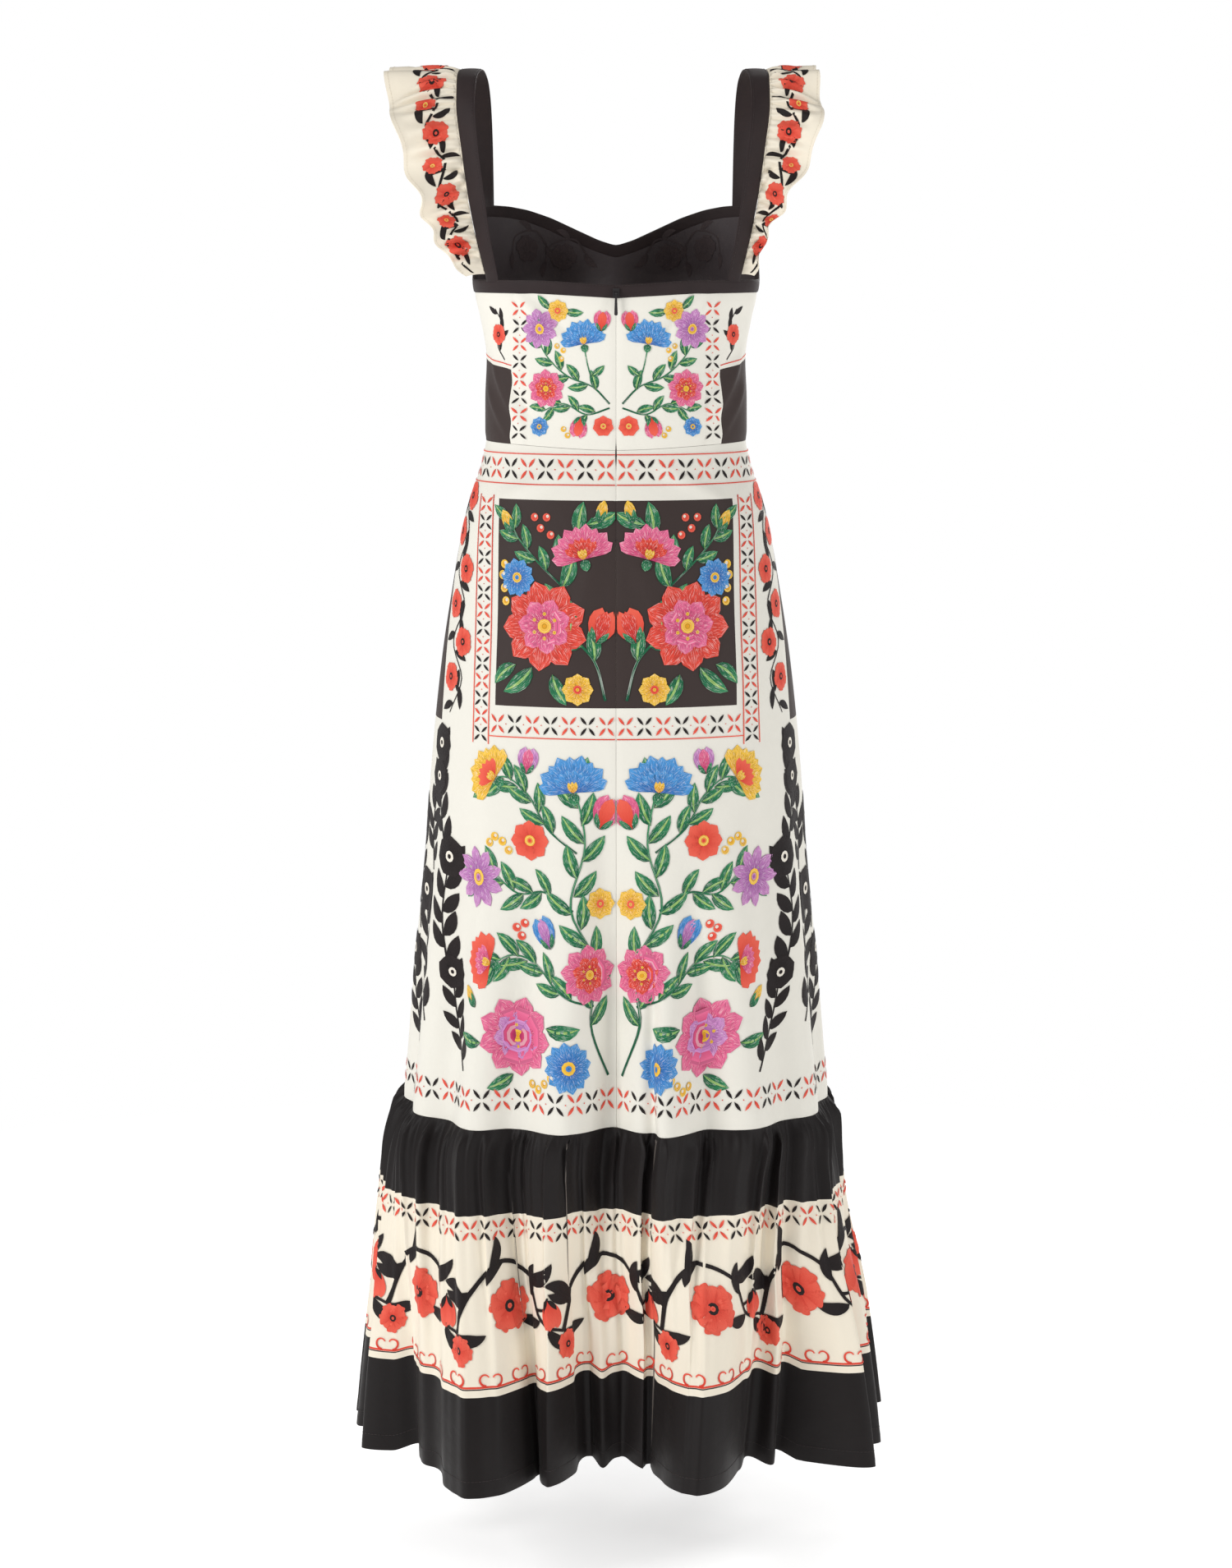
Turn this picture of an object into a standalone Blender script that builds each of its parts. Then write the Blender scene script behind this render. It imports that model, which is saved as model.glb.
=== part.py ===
# Sleeveless long dress with a strapped, sweetheart-necked bodice, flutter ruffles on the
# straps, an A-line skirt and a gathered tier at the hem, hanging as it does when worn.
# Units are metres, +Z is up, +Y is the wearer's front and +X is the wearer's right.
# The origin lies between the two strap crests, where the shoulders carry the dress.
# Angles run round the body in degrees: 0 centre back, 90 the right side, 180 centre front.

import math

import bmesh
import bpy
from mathutils import Vector

CLOTH = 0.0013
LINING = 0.0010
BAND_THICK = 0.0020
FRONT_BAND_THICK = 0.0026
STRAP_THICK = 0.0018
RUFFLE_THICK = 0.0010
SEAM_GAP = 0.0003

BAND_HEIGHT = 0.0122
WAIST_SIDE_Z = -0.3500
WAIST_BACK_DIP = 0.0055
TIER_SEAM_Z = -0.9900
HEM_Z = -1.3260
ZIP_END_Z = -0.4400

# Body sections: height, half width, back depth, front depth, squareness of the ring
BODY_SECTIONS = (
    (-0.090, 0.1330, 0.0940, 0.0960, 2.5),
    (-0.130, 0.1370, 0.0970, 0.1030, 2.5),
    (-0.165, 0.1385, 0.0990, 0.1080, 2.4),
    (-0.200, 0.1370, 0.0990, 0.1120, 2.3),
    (-0.235, 0.1295, 0.0960, 0.1100, 2.2),
    (-0.272, 0.1240, 0.0910, 0.1020, 2.2),
    (-0.310, 0.1255, 0.0860, 0.0940, 2.2),
    (-0.352, 0.1258, 0.0820, 0.0880, 2.2),
    (-0.375, 0.1300, 0.0880, 0.0920, 2.2),
    (-0.400, 0.1385, 0.0980, 0.0990, 2.2),
    (-0.440, 0.1488, 0.1130, 0.1090, 2.2),
    (-0.490, 0.1577, 0.1260, 0.1180, 2.2),
    (-0.560, 0.1685, 0.1390, 0.1280, 2.2),
    (-0.660, 0.1790, 0.1500, 0.1400, 2.2),
    (-0.755, 0.1855, 0.1580, 0.1490, 2.3),
    (-0.850, 0.1930, 0.1670, 0.1600, 2.4),
    (-0.950, 0.1990, 0.1760, 0.1720, 2.5),
    (-0.990, 0.2025, 0.1800, 0.1760, 2.6),
)

# Tier sections: share of the way down the tier, half width, back depth, front depth,
# squareness, swing to the right. The ring is the bottom of the valleys between the folds.
TIER_SECTIONS = (
    (0.00, 0.2025, 0.1800, 0.1760, 2.6, 0.0000),
    (0.05, 0.2120, 0.1830, 0.1790, 2.6, -0.0020),
    (0.15, 0.2170, 0.1790, 0.1770, 2.5, -0.0045),
    (0.35, 0.2220, 0.1690, 0.1700, 2.4, -0.0045),
    (0.65, 0.2300, 0.1580, 0.1620, 2.3, 0.0000),
    (1.00, 0.2350, 0.1430, 0.1540, 2.2, 0.0000),
)
VALLEY_LIFT = 0.009
FULL_FOLD = 0.024

# Bust cups: angle, height, outward reach, half width in degrees, half height
BUST_CUPS = (
    (149.0, -0.213, 0.021, 33.0, 0.075),
    (211.0, -0.213, 0.021, 33.0, 0.075),
)

# Skirt folds: angle, reach at the tier seam, half width in degrees, start height, lean
SKIRT_FOLDS = (
    (-84.0, 0.006, 11.0, -0.70, 0.0),
    (-62.0, 0.008, 12.0, -0.62, 0.0),
    (-41.0, 0.013, 12.0, -0.66, 0.2),
    (-18.0, 0.010, 10.0, -0.60, 0.2),
    (-1.5, -0.020, 9.0, -0.68, 0.0),
    (18.5, 0.013, 8.5, -0.76, -0.9),
    (38.0, 0.010, 12.0, -0.64, 0.0),
    (61.0, 0.008, 12.0, -0.60, 0.0),
    (84.0, 0.006, 11.0, -0.72, 0.0),
    (112.0, 0.009, 12.0, -0.66, 0.0),
    (138.0, 0.011, 12.0, -0.62, 0.3),
    (163.0, 0.012, 11.0, -0.70, 0.5),
    (184.0, -0.016, 10.0, -0.66, 0.0),
    (203.0, 0.012, 10.0, -0.60, -0.4),
    (229.0, 0.009, 12.0, -0.70, 0.0),
    (252.0, 0.009, 12.0, -0.64, 0.2),
)

# Tier folds: angle, reach at the hem, half width in degrees, lean to the right
TIER_FOLDS = (
    (-88.0, 0.024, 7.5, 0.1),
    (-71.0, 0.040, 9.5, 0.1),
    (-58.0, 0.022, 7.0, 0.0),
    (-41.0, 0.104, 20.0, 0.56),
    (-20.0, 0.070, 9.0, 0.15),
    (-4.5, 0.016, 5.0, 0.0),
    (8.5, 0.016, 6.5, 0.1),
    (28.5, 0.088, 19.0, -0.50),
    (48.5, 0.022, 5.5, -0.2),
    (60.5, 0.086, 8.5, -0.1),
    (74.0, 0.044, 8.5, 0.1),
    (89.0, 0.024, 7.0, 0.0),
    (104.0, 0.046, 9.0, 0.15),
    (120.0, 0.030, 8.0, 0.0),
    (140.0, 0.080, 14.0, 0.42),
    (158.0, 0.040, 8.0, 0.1),
    (171.0, 0.058, 8.5, 0.2),
    (184.0, 0.018, 6.0, 0.0),
    (199.0, 0.068, 11.0, -0.35),
    (215.0, 0.034, 8.0, 0.0),
    (232.0, 0.076, 12.5, -0.38),
    (249.0, 0.036, 8.0, 0.1),
    (261.0, 0.030, 7.0, 0.0),
)

# Rows of the skirt panels, as shares of the way from the waist to the tier seam
SKIRT_ROWS = (0.0, 0.04, 0.09, 0.16, 0.30, 0.50, 0.75, 1.0)
BODICE_ROWS = 5
ARMHOLE_STEPS = 7
NECK_STEPS = 12

GATHERS_PER_HALF = 30
STEPS_PER_GATHER = 3
GATHER_REACH = 0.0042
TIER_ROWS = (0.0, 0.04, 0.12, 0.28, 0.50, 0.74, 1.0)

# Front neckline from centre front to the strap: distance from the centre, height
NECK_EDGE = (
    (0.000, -0.1660),
    (0.016, -0.1610),
    (0.040, -0.1500),
    (0.064, -0.1390),
    (0.086, -0.1315),
    (0.104, -0.1280),
    (0.119, -0.1270),
)

# Armhole from the underarm to the strap's outer edge: angle, height
ARMHOLE_EDGE = (
    (86.0, -0.1972),
    (92.0, -0.1955),
    (97.0, -0.1850),
    (101.0, -0.1650),
    (104.5, -0.1440),
    (107.5, -0.1270),
)

# Back neckline from centre back to the underarm: angle, height
BACK_EDGE = (
    (0.0, -0.2010),
    (20.0, -0.1990),
    (45.0, -0.1970),
    (68.0, -0.1970),
    (86.0, -0.1972),
)

# Strap stations: inner edge x and y, outer edge x and y, height. The feet take their
# place across from here and their depth from the bands they are sewn to.
STRAP_STATIONS = (
    (0.1105, -0.0622, 0.1220, -0.0500, -0.1966),
    (0.1185, -0.0680, 0.1320, -0.0575, -0.1550),
    (0.1235, -0.0705, 0.1390, -0.0600, -0.1180),
    (0.1290, -0.0690, 0.1450, -0.0580, -0.0750),
    (0.1325, -0.0580, 0.1500, -0.0480, -0.0330),
    (0.1310, -0.0330, 0.1500, -0.0270, -0.0075),
    (0.1265, 0.0000, 0.1475, 0.0010, 0.0000),
    (0.1225, 0.0310, 0.1445, 0.0330, -0.0090),
    (0.1200, 0.0510, 0.1420, 0.0500, -0.0360),
    (0.1190, 0.0620, 0.1385, 0.0500, -0.0800),
    (0.1185, 0.0655, 0.1325, 0.0400, -0.1266),
)
STRAP_STEPS = 26

# The two straps don't hang quite alike: side, direction across, how far it sits in
SIDES = (
    ("right", 1.0, 0.0055),
    ("left", -1.0, 0.0),
)

# Strap ruffle: share of the way along the strap, width on the right, width on the left,
# then its direction out, to the front and up
RUFFLE_STATIONS = (
    (0.00, 0.012, 0.018, 1.0, -0.10, 0.05),
    (0.08, 0.014, 0.036, 1.0, -0.18, 0.02),
    (0.22, 0.031, 0.047, 1.0, -0.25, -0.06),
    (0.38, 0.050, 0.060, 1.0, -0.22, -0.04),
    (0.55, 0.045, 0.068, 1.0, 0.00, 0.12),
    (0.72, 0.050, 0.054, 1.0, 0.22, -0.04),
    (0.88, 0.038, 0.040, 1.0, 0.25, -0.06),
    (1.00, 0.020, 0.020, 1.0, 0.15, 0.05),
)
RUFFLE_SEAM = 0.0007
RUFFLE_PUCKERS = 28
RUFFLE_WAVES = 9
RUFFLE_WAVE_REACH = 0.0075
RUFFLE_PUCKER_REACH = 0.0016
RUFFLE_DROOP = 0.17
RUFFLE_START = 0.012
RUFFLE_EDGE_SWING = 0.35
RUFFLE_EDGE_TURN = 9.0
RUFFLE_ROWS = (0.0, 0.16, 0.55, 1.0)

SLIDER_SIZE = (0.0062, 0.0016, 0.0086)
SLIDER_Z = -0.2085
SLIDER_EAR = 0.0009
EAR_HALF_HEIGHT = 0.0011
EAR_ROOT = 0.0004
PIN_RADIUS = 0.0005
PIN_STAND = 0.0018
PULL_EYE_RADIUS = 0.0008
PULL_RIM_RADIUS = 0.0015
PULL_WIDTH = 0.0032
PULL_THICK = 0.0010
PULL_LENGTH = 0.0195
PULL_EYE_WALL = 0.0002
ZIP_TAPE_WIDTH = 0.0240
ZIP_TAPE_THICK = 0.0010
ZIP_TAPE_DROP = 0.0025

# Small steps for a face's own direction: degrees, height, gathers, share of the tier
DELTA_DEG = 0.15
DELTA_Z = 0.0006
DELTA_COUNT = 0.03
DELTA_SHARE = 0.004

# Round measures that turn a length along the cloth into an angle
FLAT_RADIUS = 0.125
BACK_RADIUS = 0.110
TIER_RADIUS = 0.220


def start_clean():
    for obj in list(bpy.data.objects):
        bpy.data.objects.remove(obj, do_unlink=True)


def material(name, colour, roughness=0.9, metallic=0.0):
    mat = bpy.data.materials.new(name)
    mat.use_nodes = True
    shader = mat.node_tree.nodes["Principled BSDF"]
    shader.inputs["Base Color"].default_value = (*colour, 1.0)
    shader.inputs["Roughness"].default_value = roughness
    shader.inputs["Metallic"].default_value = metallic
    return mat


def smooth_step(value):
    value = min(1.0, max(0.0, value))
    return value * value * (3.0 - 2.0 * value)


def curve_value(rows, position, column):
    """Value of one column where the first column equals position, on a smooth curve."""
    keys = [row[0] for row in rows]
    values = [row[column] for row in rows]
    if keys[0] > keys[-1]:
        keys.reverse()
        values.reverse()
    if position <= keys[0]:
        return values[0]
    if position >= keys[-1]:
        return values[-1]
    last = len(keys) - 1
    low = max(i for i in range(last) if keys[i] <= position)

    def slope(i):
        if i == 0 or i == last:
            near = min(i, last - 1)
            return (values[near + 1] - values[near]) / (keys[near + 1] - keys[near])
        before = (values[i] - values[i - 1]) / (keys[i] - keys[i - 1])
        after = (values[i + 1] - values[i]) / (keys[i + 1] - keys[i])
        if before * after <= 0.0:
            return 0.0
        return 2.0 * before * after / (before + after)

    span = keys[low + 1] - keys[low]
    t = (position - keys[low]) / span
    rise = (2 * t**3 - 3 * t**2 + 1) * values[low] + (3 * t**2 - 2 * t**3) * values[low + 1]
    bend = (t**3 - 2 * t**2 + t) * slope(low) + (t**3 - t**2) * slope(low + 1)
    return rise + bend * span


def turn_between(angle, other):
    return (angle - other + 180.0) % 360.0 - 180.0


def bump(angle, centre, half_width):
    share = abs(turn_between(angle, centre)) / half_width
    if share >= 1.0:
        return 0.0
    return 0.5 + 0.5 * math.cos(math.pi * share)


def ring_radius(angle, half_width, back, front, square):
    turn = math.radians(angle)
    depth = back if math.cos(turn) > 0.0 else front
    across = (abs(math.sin(turn)) / half_width) ** square
    along = (abs(math.cos(turn)) / depth) ** square
    return (across + along) ** (-1.0 / square)


def ring_point(angle, radius, out, lean, z):
    """Point at an angle on a ring, moved out by a fold and sideways by its lean."""
    turn = math.radians(angle)
    radial = Vector((math.sin(turn), -math.cos(turn), 0.0))
    sideways = Vector((math.cos(turn), math.sin(turn), 0.0))
    point = radial * (radius + out) + sideways * lean
    point.z = z
    return point


def skirt_fold(angle, z):
    out = 0.0
    lean = 0.0
    for centre, reach, half_width, start, tilt in SKIRT_FOLDS:
        growth = smooth_step((start - z) / (start - TIER_SEAM_Z))
        height = reach * growth * bump(angle, centre, half_width)
        out += height
        lean += tilt * height
    return out, lean


def body_surface(angle, z):
    """Outer face of the bodice and the skirt."""
    half_width, back, front, square = (curve_value(BODY_SECTIONS, z, c) for c in (1, 2, 3, 4))
    radius = ring_radius(angle, half_width, back, front, square)
    for centre, height, reach, cup_width, cup_height in BUST_CUPS:
        share = min(1.0, abs(z - height) / cup_height)
        radius += reach * bump(angle, centre, cup_width) * (0.5 + 0.5 * math.cos(math.pi * share))
    out, lean = skirt_fold(angle, z)
    return ring_point(angle, radius, out, lean, z)


def gather_angle(count):
    """Angle of a place counted in gathers from centre back, unevenly spaced."""
    per_gather = 180.0 / GATHERS_PER_HALF
    from_side = count - GATHERS_PER_HALF / 2
    slow = 1.4 * math.sin(2.0 * math.pi * from_side / 7.5)
    quick = 0.7 * math.sin(2.0 * math.pi * from_side / 3.0)
    return per_gather * count + slow + quick


def tier_surface(count, share):
    """Outer face of the gathered tier: place in gathers, share of the way down."""
    angle = gather_angle(count)
    half_width, back, front, square, swing = (
        curve_value(TIER_SECTIONS, share, c) for c in (1, 2, 3, 4, 5)
    )
    radius = ring_radius(angle, half_width, back, front, square)
    out, lean = skirt_fold(angle, TIER_SEAM_Z)
    fade = 1.0 - smooth_step(share / 0.8)
    out *= fade
    lean *= fade
    growth = smooth_step(share / 1.15) * 0.72 + 0.28 * share
    fold = 0.0
    for centre, reach, fold_width, tilt in TIER_FOLDS:
        height = reach * bump(angle, centre, fold_width)
        fold += height
        out += height * growth
        lean += tilt * height * growth
    rise = smooth_step(share / 0.05) * (1.0 - smooth_step((share - 0.10) / 0.55))
    uneven = 0.75 + 0.25 * math.sin(count * 1.9)
    out += GATHER_REACH * uneven * (0.12 + 0.88 * rise) * math.cos(2.0 * math.pi * count)
    lift = VALLEY_LIFT * (1.0 - smooth_step(fold / FULL_FOLD)) * share
    z = TIER_SEAM_Z - SEAM_GAP + share * (HEM_Z - TIER_SEAM_Z) + lift
    point = ring_point(angle, radius, out, lean, z)
    point.x += swing
    return point


def face_normal(surface, first, second, first_step, second_step):
    across = surface(first + first_step, second) - surface(first - first_step, second)
    upward = surface(first, second + second_step) - surface(first, second - second_step)
    return across.cross(upward).normalized()


def on_body(angle, z, out=0.0):
    """Point on the body's outer face, moved out along the face's own direction."""
    normal = face_normal(body_surface, angle, z, DELTA_DEG, DELTA_Z)
    return body_surface(angle, z) + normal * out


def on_tier(count, share, out=0.0):
    normal = face_normal(tier_surface, count, share, DELTA_COUNT, -DELTA_SHARE)
    return tier_surface(count, share) + normal * out


def solid_from(name, points, faces, mat, smooth=True):
    mesh = bpy.data.meshes.new(name)
    mesh.from_pydata([tuple(p) for p in points], [], faces)
    work = bmesh.new()
    work.from_mesh(mesh)
    bmesh.ops.triangulate(work, faces=[f for f in work.faces if len(f.verts) == 4])
    bmesh.ops.recalc_face_normals(work, faces=work.faces)
    work.to_mesh(mesh)
    work.free()
    mesh.materials.append(mat)
    if smooth:
        mesh.shade_smooth()
        mesh.set_sharp_from_angle(angle=math.radians(50.0))
    obj = bpy.data.objects.new(name, mesh)
    bpy.context.collection.objects.link(obj)
    return obj


def wall(name, outer, inner, mat):
    """Closed cloth wall from two grids of points, the same rows and columns in each."""
    rows = len(outer)
    columns = len(outer[0])
    points = [p for row in outer for p in row] + [p for row in inner for p in row]
    shift = rows * columns

    def out_at(i, j):
        return i * columns + j

    def in_at(i, j):
        return shift + i * columns + j

    faces = []
    for i in range(rows - 1):
        for j in range(columns - 1):
            faces.append((out_at(i, j), out_at(i + 1, j), out_at(i + 1, j + 1), out_at(i, j + 1)))
            faces.append((in_at(i, j), in_at(i, j + 1), in_at(i + 1, j + 1), in_at(i + 1, j)))
    for j in range(columns - 1):
        end = rows - 1
        faces.append((out_at(0, j), out_at(0, j + 1), in_at(0, j + 1), in_at(0, j)))
        faces.append((out_at(end, j), in_at(end, j), in_at(end, j + 1), out_at(end, j + 1)))
    for i in range(rows - 1):
        end = columns - 1
        faces.append((out_at(i, 0), in_at(i, 0), in_at(i + 1, 0), out_at(i + 1, 0)))
        faces.append((out_at(i, end), out_at(i + 1, end), in_at(i + 1, end), in_at(i, end)))
    return solid_from(name, points, faces, mat)


def body_wall(name, top, bottom, rows, mat, out=0.0, thick=CLOTH):
    """Cloth panel on the body between a top and a bottom line of angle and height."""
    outer = []
    inner = []
    for i in range(rows + 1):
        share = i / rows
        line = [(a + (c - a) * share, b + (d - b) * share) for (a, b), (c, d) in zip(top, bottom)]
        outer.append([on_body(angle, z, out) for angle, z in line])
        inner.append([on_body(angle, z, out - thick) for angle, z in line])
    return wall(name, outer, inner, mat)


def seam_turn(z, gap=SEAM_GAP):
    """Half a seam gap as an angle at this height."""
    half_width = curve_value(BODY_SECTIONS, z, 1)
    return math.degrees(0.5 * gap / half_width)


def waist_z(angle):
    back = max(0.0, math.cos(math.radians(angle)))
    return WAIST_SIDE_Z - WAIST_BACK_DIP * back * back


def angle_at(distance, z):
    """Angle in front of the body whose face is this far from the centre line."""
    low, high = 90.0, 180.0
    for _ in range(40):
        middle = 0.5 * (low + high)
        if body_surface(middle, z).x > distance:
            low = middle
        else:
            high = middle
    return 0.5 * (low + high)


def spaced(line, count):
    """The same line of angle and height with evenly spaced points."""
    lengths = [0.0]
    for (a, b), (c, d) in zip(line, line[1:]):
        lengths.append(lengths[-1] + (on_flat(c, d) - on_flat(a, b)).length)
    result = []
    for k in range(count + 1):
        target = lengths[-1] * k / count
        i = max(n for n in range(len(line) - 1) if lengths[n] <= target + 1e-12)
        span = lengths[i + 1] - lengths[i]
        share = (target - lengths[i]) / span
        result.append(tuple(p + (q - p) * share for p, q in zip(line[i], line[i + 1])))
    return result


def on_flat(angle, z):
    """The place laid flat: distance round the body and height."""
    return Vector((math.radians(angle) * FLAT_RADIUS, z))


def moved_down(line, distance):
    """Line shifted square to itself towards the hem, measured on the flat."""
    shifted = []
    for k, (angle, z) in enumerate(line):
        before = on_flat(*line[max(0, k - 1)])
        after = on_flat(*line[min(len(line) - 1, k + 1)])
        along = (after - before).normalized()
        down = Vector((along.y, -along.x))
        if down.y > 0.0:
            down = -down
        place = on_flat(angle, z) + down * distance
        shifted.append((math.degrees(place.x / FLAT_RADIUS), place.y))
    return shifted


def front_edge():
    """Front top edge, right side seam to centre front: armhole, then strap seat and neck."""
    arm = [(90.0 + seam_turn(-0.1970), curve_value(ARMHOLE_EDGE, 90.0, 1))]
    arm += [row for row in ARMHOLE_EDGE if row[0] > 91.0]
    neck = [(angle_at(x, z), z) for x, z in reversed(NECK_EDGE)]
    return arm, [arm[-1]] + neck


def lowered_edge(arm, neck, distance):
    """Both parts of the front edge moved square to themselves, meeting at their corner."""
    clear_height = 0.002
    clear_turn = 0.5
    steep = 1.08
    low_arm = moved_down(arm, distance)
    low_neck = moved_down(neck, distance)
    low_arm[0] = (arm[0][0], arm[0][1] - distance)
    low_neck[-1] = (180.0, neck[-1][1] - distance * steep)
    (a, za), (b, zb) = low_arm[-2:]
    level = low_neck[0][1]
    slope = (b - a) / (zb - za)
    corner = (b + (level - zb) * slope, level)
    low_arm = [row for row in low_arm if row[1] < level - clear_height] + [corner]
    low_neck = [corner] + [row for row in low_neck if row[0] > corner[0] + clear_turn]
    return low_arm, low_neck


def front_line(arm, neck):
    """Points along the front edge from the right side seam round to the left one."""
    half = spaced(arm, ARMHOLE_STEPS) + spaced(neck, NECK_STEPS)[1:]
    return half + mirror_line(half)[1:]


def mirror_line(line):
    return [(360.0 - angle, z) for angle, z in reversed(line)]


def make_back_bodice(cloth, black):
    """Two back panels with their half of the band, parted by the zip opening."""
    for side, sign in (("right", 1.0), ("left", -1.0)):
        gap = seam_turn(-0.2)
        start, end = gap, 90.0 - gap
        count = 14
        angles = [start + (end - start) * k / count for k in range(count + 1)]
        top = [(sign * a, back_z(a)) for a in angles]
        band_foot = [(a, z - BAND_HEIGHT) for a, z in top]
        panel_top = [(a, z - SEAM_GAP) for a, z in band_foot]
        waist = [(a, waist_z(a)) for a, _ in top]
        body_wall("back_band_" + side, top, band_foot, 1, black, thick=BAND_THICK)
        body_wall("back_bodice_" + side, panel_top, waist, BODICE_ROWS, cloth)


def back_z(angle):
    if angle < BACK_EDGE[-1][0]:
        return curve_value(BACK_EDGE, angle, 1)
    return curve_value(ARMHOLE_EDGE, angle, 1)


def make_front_bodice(cloth, black):
    """Front panel with its lining, edged by a band along the armholes and neckline."""
    arm, neck = front_edge()
    top = front_line(arm, neck)
    foot = front_line(*lowered_edge(arm, neck, BAND_HEIGHT))
    below = front_line(*lowered_edge(arm, neck, BAND_HEIGHT + SEAM_GAP))
    first = 90.0 + seam_turn(WAIST_SIDE_Z)
    last = 360.0 - first
    count = len(top) - 1
    waist = [(first + (last - first) * k / count, WAIST_SIDE_Z) for k in range(count + 1)]
    body_wall("front_band", top, foot, 1, black, thick=FRONT_BAND_THICK)
    body_wall("front_bodice", below, waist, BODICE_ROWS, cloth)
    body_wall("front_lining", below, waist, BODICE_ROWS, black, out=-CLOTH - SEAM_GAP, thick=LINING)


def make_skirt(cloth):
    """Two back panels and one front panel from the waist to the tier seam."""
    gap = seam_turn(-0.6)
    panels = (
        ("skirt_back_right", gap, 90.0 - gap, 30),
        ("skirt_back_left", -90.0 + gap, -gap, 30),
        ("skirt_front", 90.0 + gap, 270.0 - gap, 36),
    )
    for name, start, end, count in panels:
        angles = [start + (end - start) * k / count for k in range(count + 1)]
        outer = []
        inner = []
        for share in SKIRT_ROWS:
            line = [(a, waist_z(a) - SEAM_GAP) for a in angles]
            line = [(a, z + (TIER_SEAM_Z - z) * share) for a, z in line]
            outer.append([on_body(a, z) for a, z in line])
            inner.append([on_body(a, z, -CLOTH) for a, z in line])
        wall(name, outer, inner, cloth)


def make_tier(cloth):
    """Gathered tier in a back and a front length, joined at the side seams."""
    half = GATHERS_PER_HALF / 2
    end_gap = 0.5 * SEAM_GAP / TIER_RADIUS * GATHERS_PER_HALF / math.pi
    steps = GATHERS_PER_HALF * STEPS_PER_GATHER
    for name, start in (("tier_back", -half), ("tier_front", half)):
        counts = [start + k / STEPS_PER_GATHER for k in range(steps + 1)]
        counts[0] += end_gap
        counts[-1] -= end_gap
        outer = [[on_tier(c, share) for c in counts] for share in TIER_ROWS]
        inner = [[on_tier(c, share, -CLOTH) for c in counts] for share in TIER_ROWS]
        wall(name, outer, inner, cloth)


def depth_at(across, z, front):
    """Depth of the body's face this far from the centre line, behind or in front."""
    low, high = (90.0, 180.0) if front else (90.0, 0.0)
    for _ in range(40):
        middle = 0.5 * (low + high)
        if body_surface(middle, z).x > across:
            low = middle
        else:
            high = middle
    return body_surface(middle, z).y


def strap_rows(inset):
    """Strap stations for one side, with a share of the way in front of each."""
    rows = []
    last = len(STRAP_STATIONS) - 1
    for k, (x_in, y_in, x_out, y_out, z) in enumerate(STRAP_STATIONS):
        x_in -= inset
        x_out -= inset
        if k == 0:
            y_in = depth_at(x_in, z, False) + BAND_THICK / 2
            y_out = depth_at(x_out, z, False) + BAND_THICK / 2
        if k == last:
            y_in = depth_at(x_in, z, True) - FRONT_BAND_THICK / 2
            y_out = depth_at(x_out, z, True) - FRONT_BAND_THICK / 2
        rows.append((k / last, x_in, y_in, x_out, y_out, z))
    return rows


def strap_station(rows, place, window=0.01):
    """Inner edge, outer edge and directions at a share of the way over the shoulder."""

    def edges(share):
        x_in, y_in, x_out, y_out, z = (curve_value(rows, share, c) for c in range(1, 6))
        return Vector((x_in, y_in, z)), Vector((x_out, y_out, z))

    inner, outer = edges(place)
    ahead = edges(min(1.0, place + window))
    behind = edges(max(0.0, place - window))
    along = (ahead[0] + ahead[1] - behind[0] - behind[1]).normalized()
    across = (outer - inner).normalized()
    return inner, outer, along, across, across.cross(along).normalized()


def strap_edge(rows, place):
    """Outer edge of the strap as built, straight between its stations."""
    whole = min(STRAP_STEPS - 1, int(place * STRAP_STEPS))
    low = strap_station(rows, whole / STRAP_STEPS)[1]
    high = strap_station(rows, (whole + 1) / STRAP_STEPS)[1]
    _, _, along, across, _ = strap_station(rows, place, 0.06)
    return low.lerp(high, place * STRAP_STEPS - whole), along, across


def mirrored(point, sign):
    return Vector((point.x * sign, point.y, point.z))


def make_straps(black):
    """Folded straps from the back band over the shoulder to the front band."""
    half = STRAP_THICK / 2
    for side, sign, inset in SIDES:
        rows = strap_rows(inset)
        upper = []
        lower = []
        for k in range(STRAP_STEPS + 1):
            inner, outer, _, _, normal = strap_station(rows, k / STRAP_STEPS)
            if k in (0, STRAP_STEPS):
                normal = Vector((normal.x, normal.y, 0.0)).normalized()
            upper.append([mirrored(p + normal * half, sign) for p in (inner, outer)])
            lower.append([mirrored(p - normal * half, sign) for p in (inner, outer)])
        wall("strap_" + side, upper, lower, black)


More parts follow.
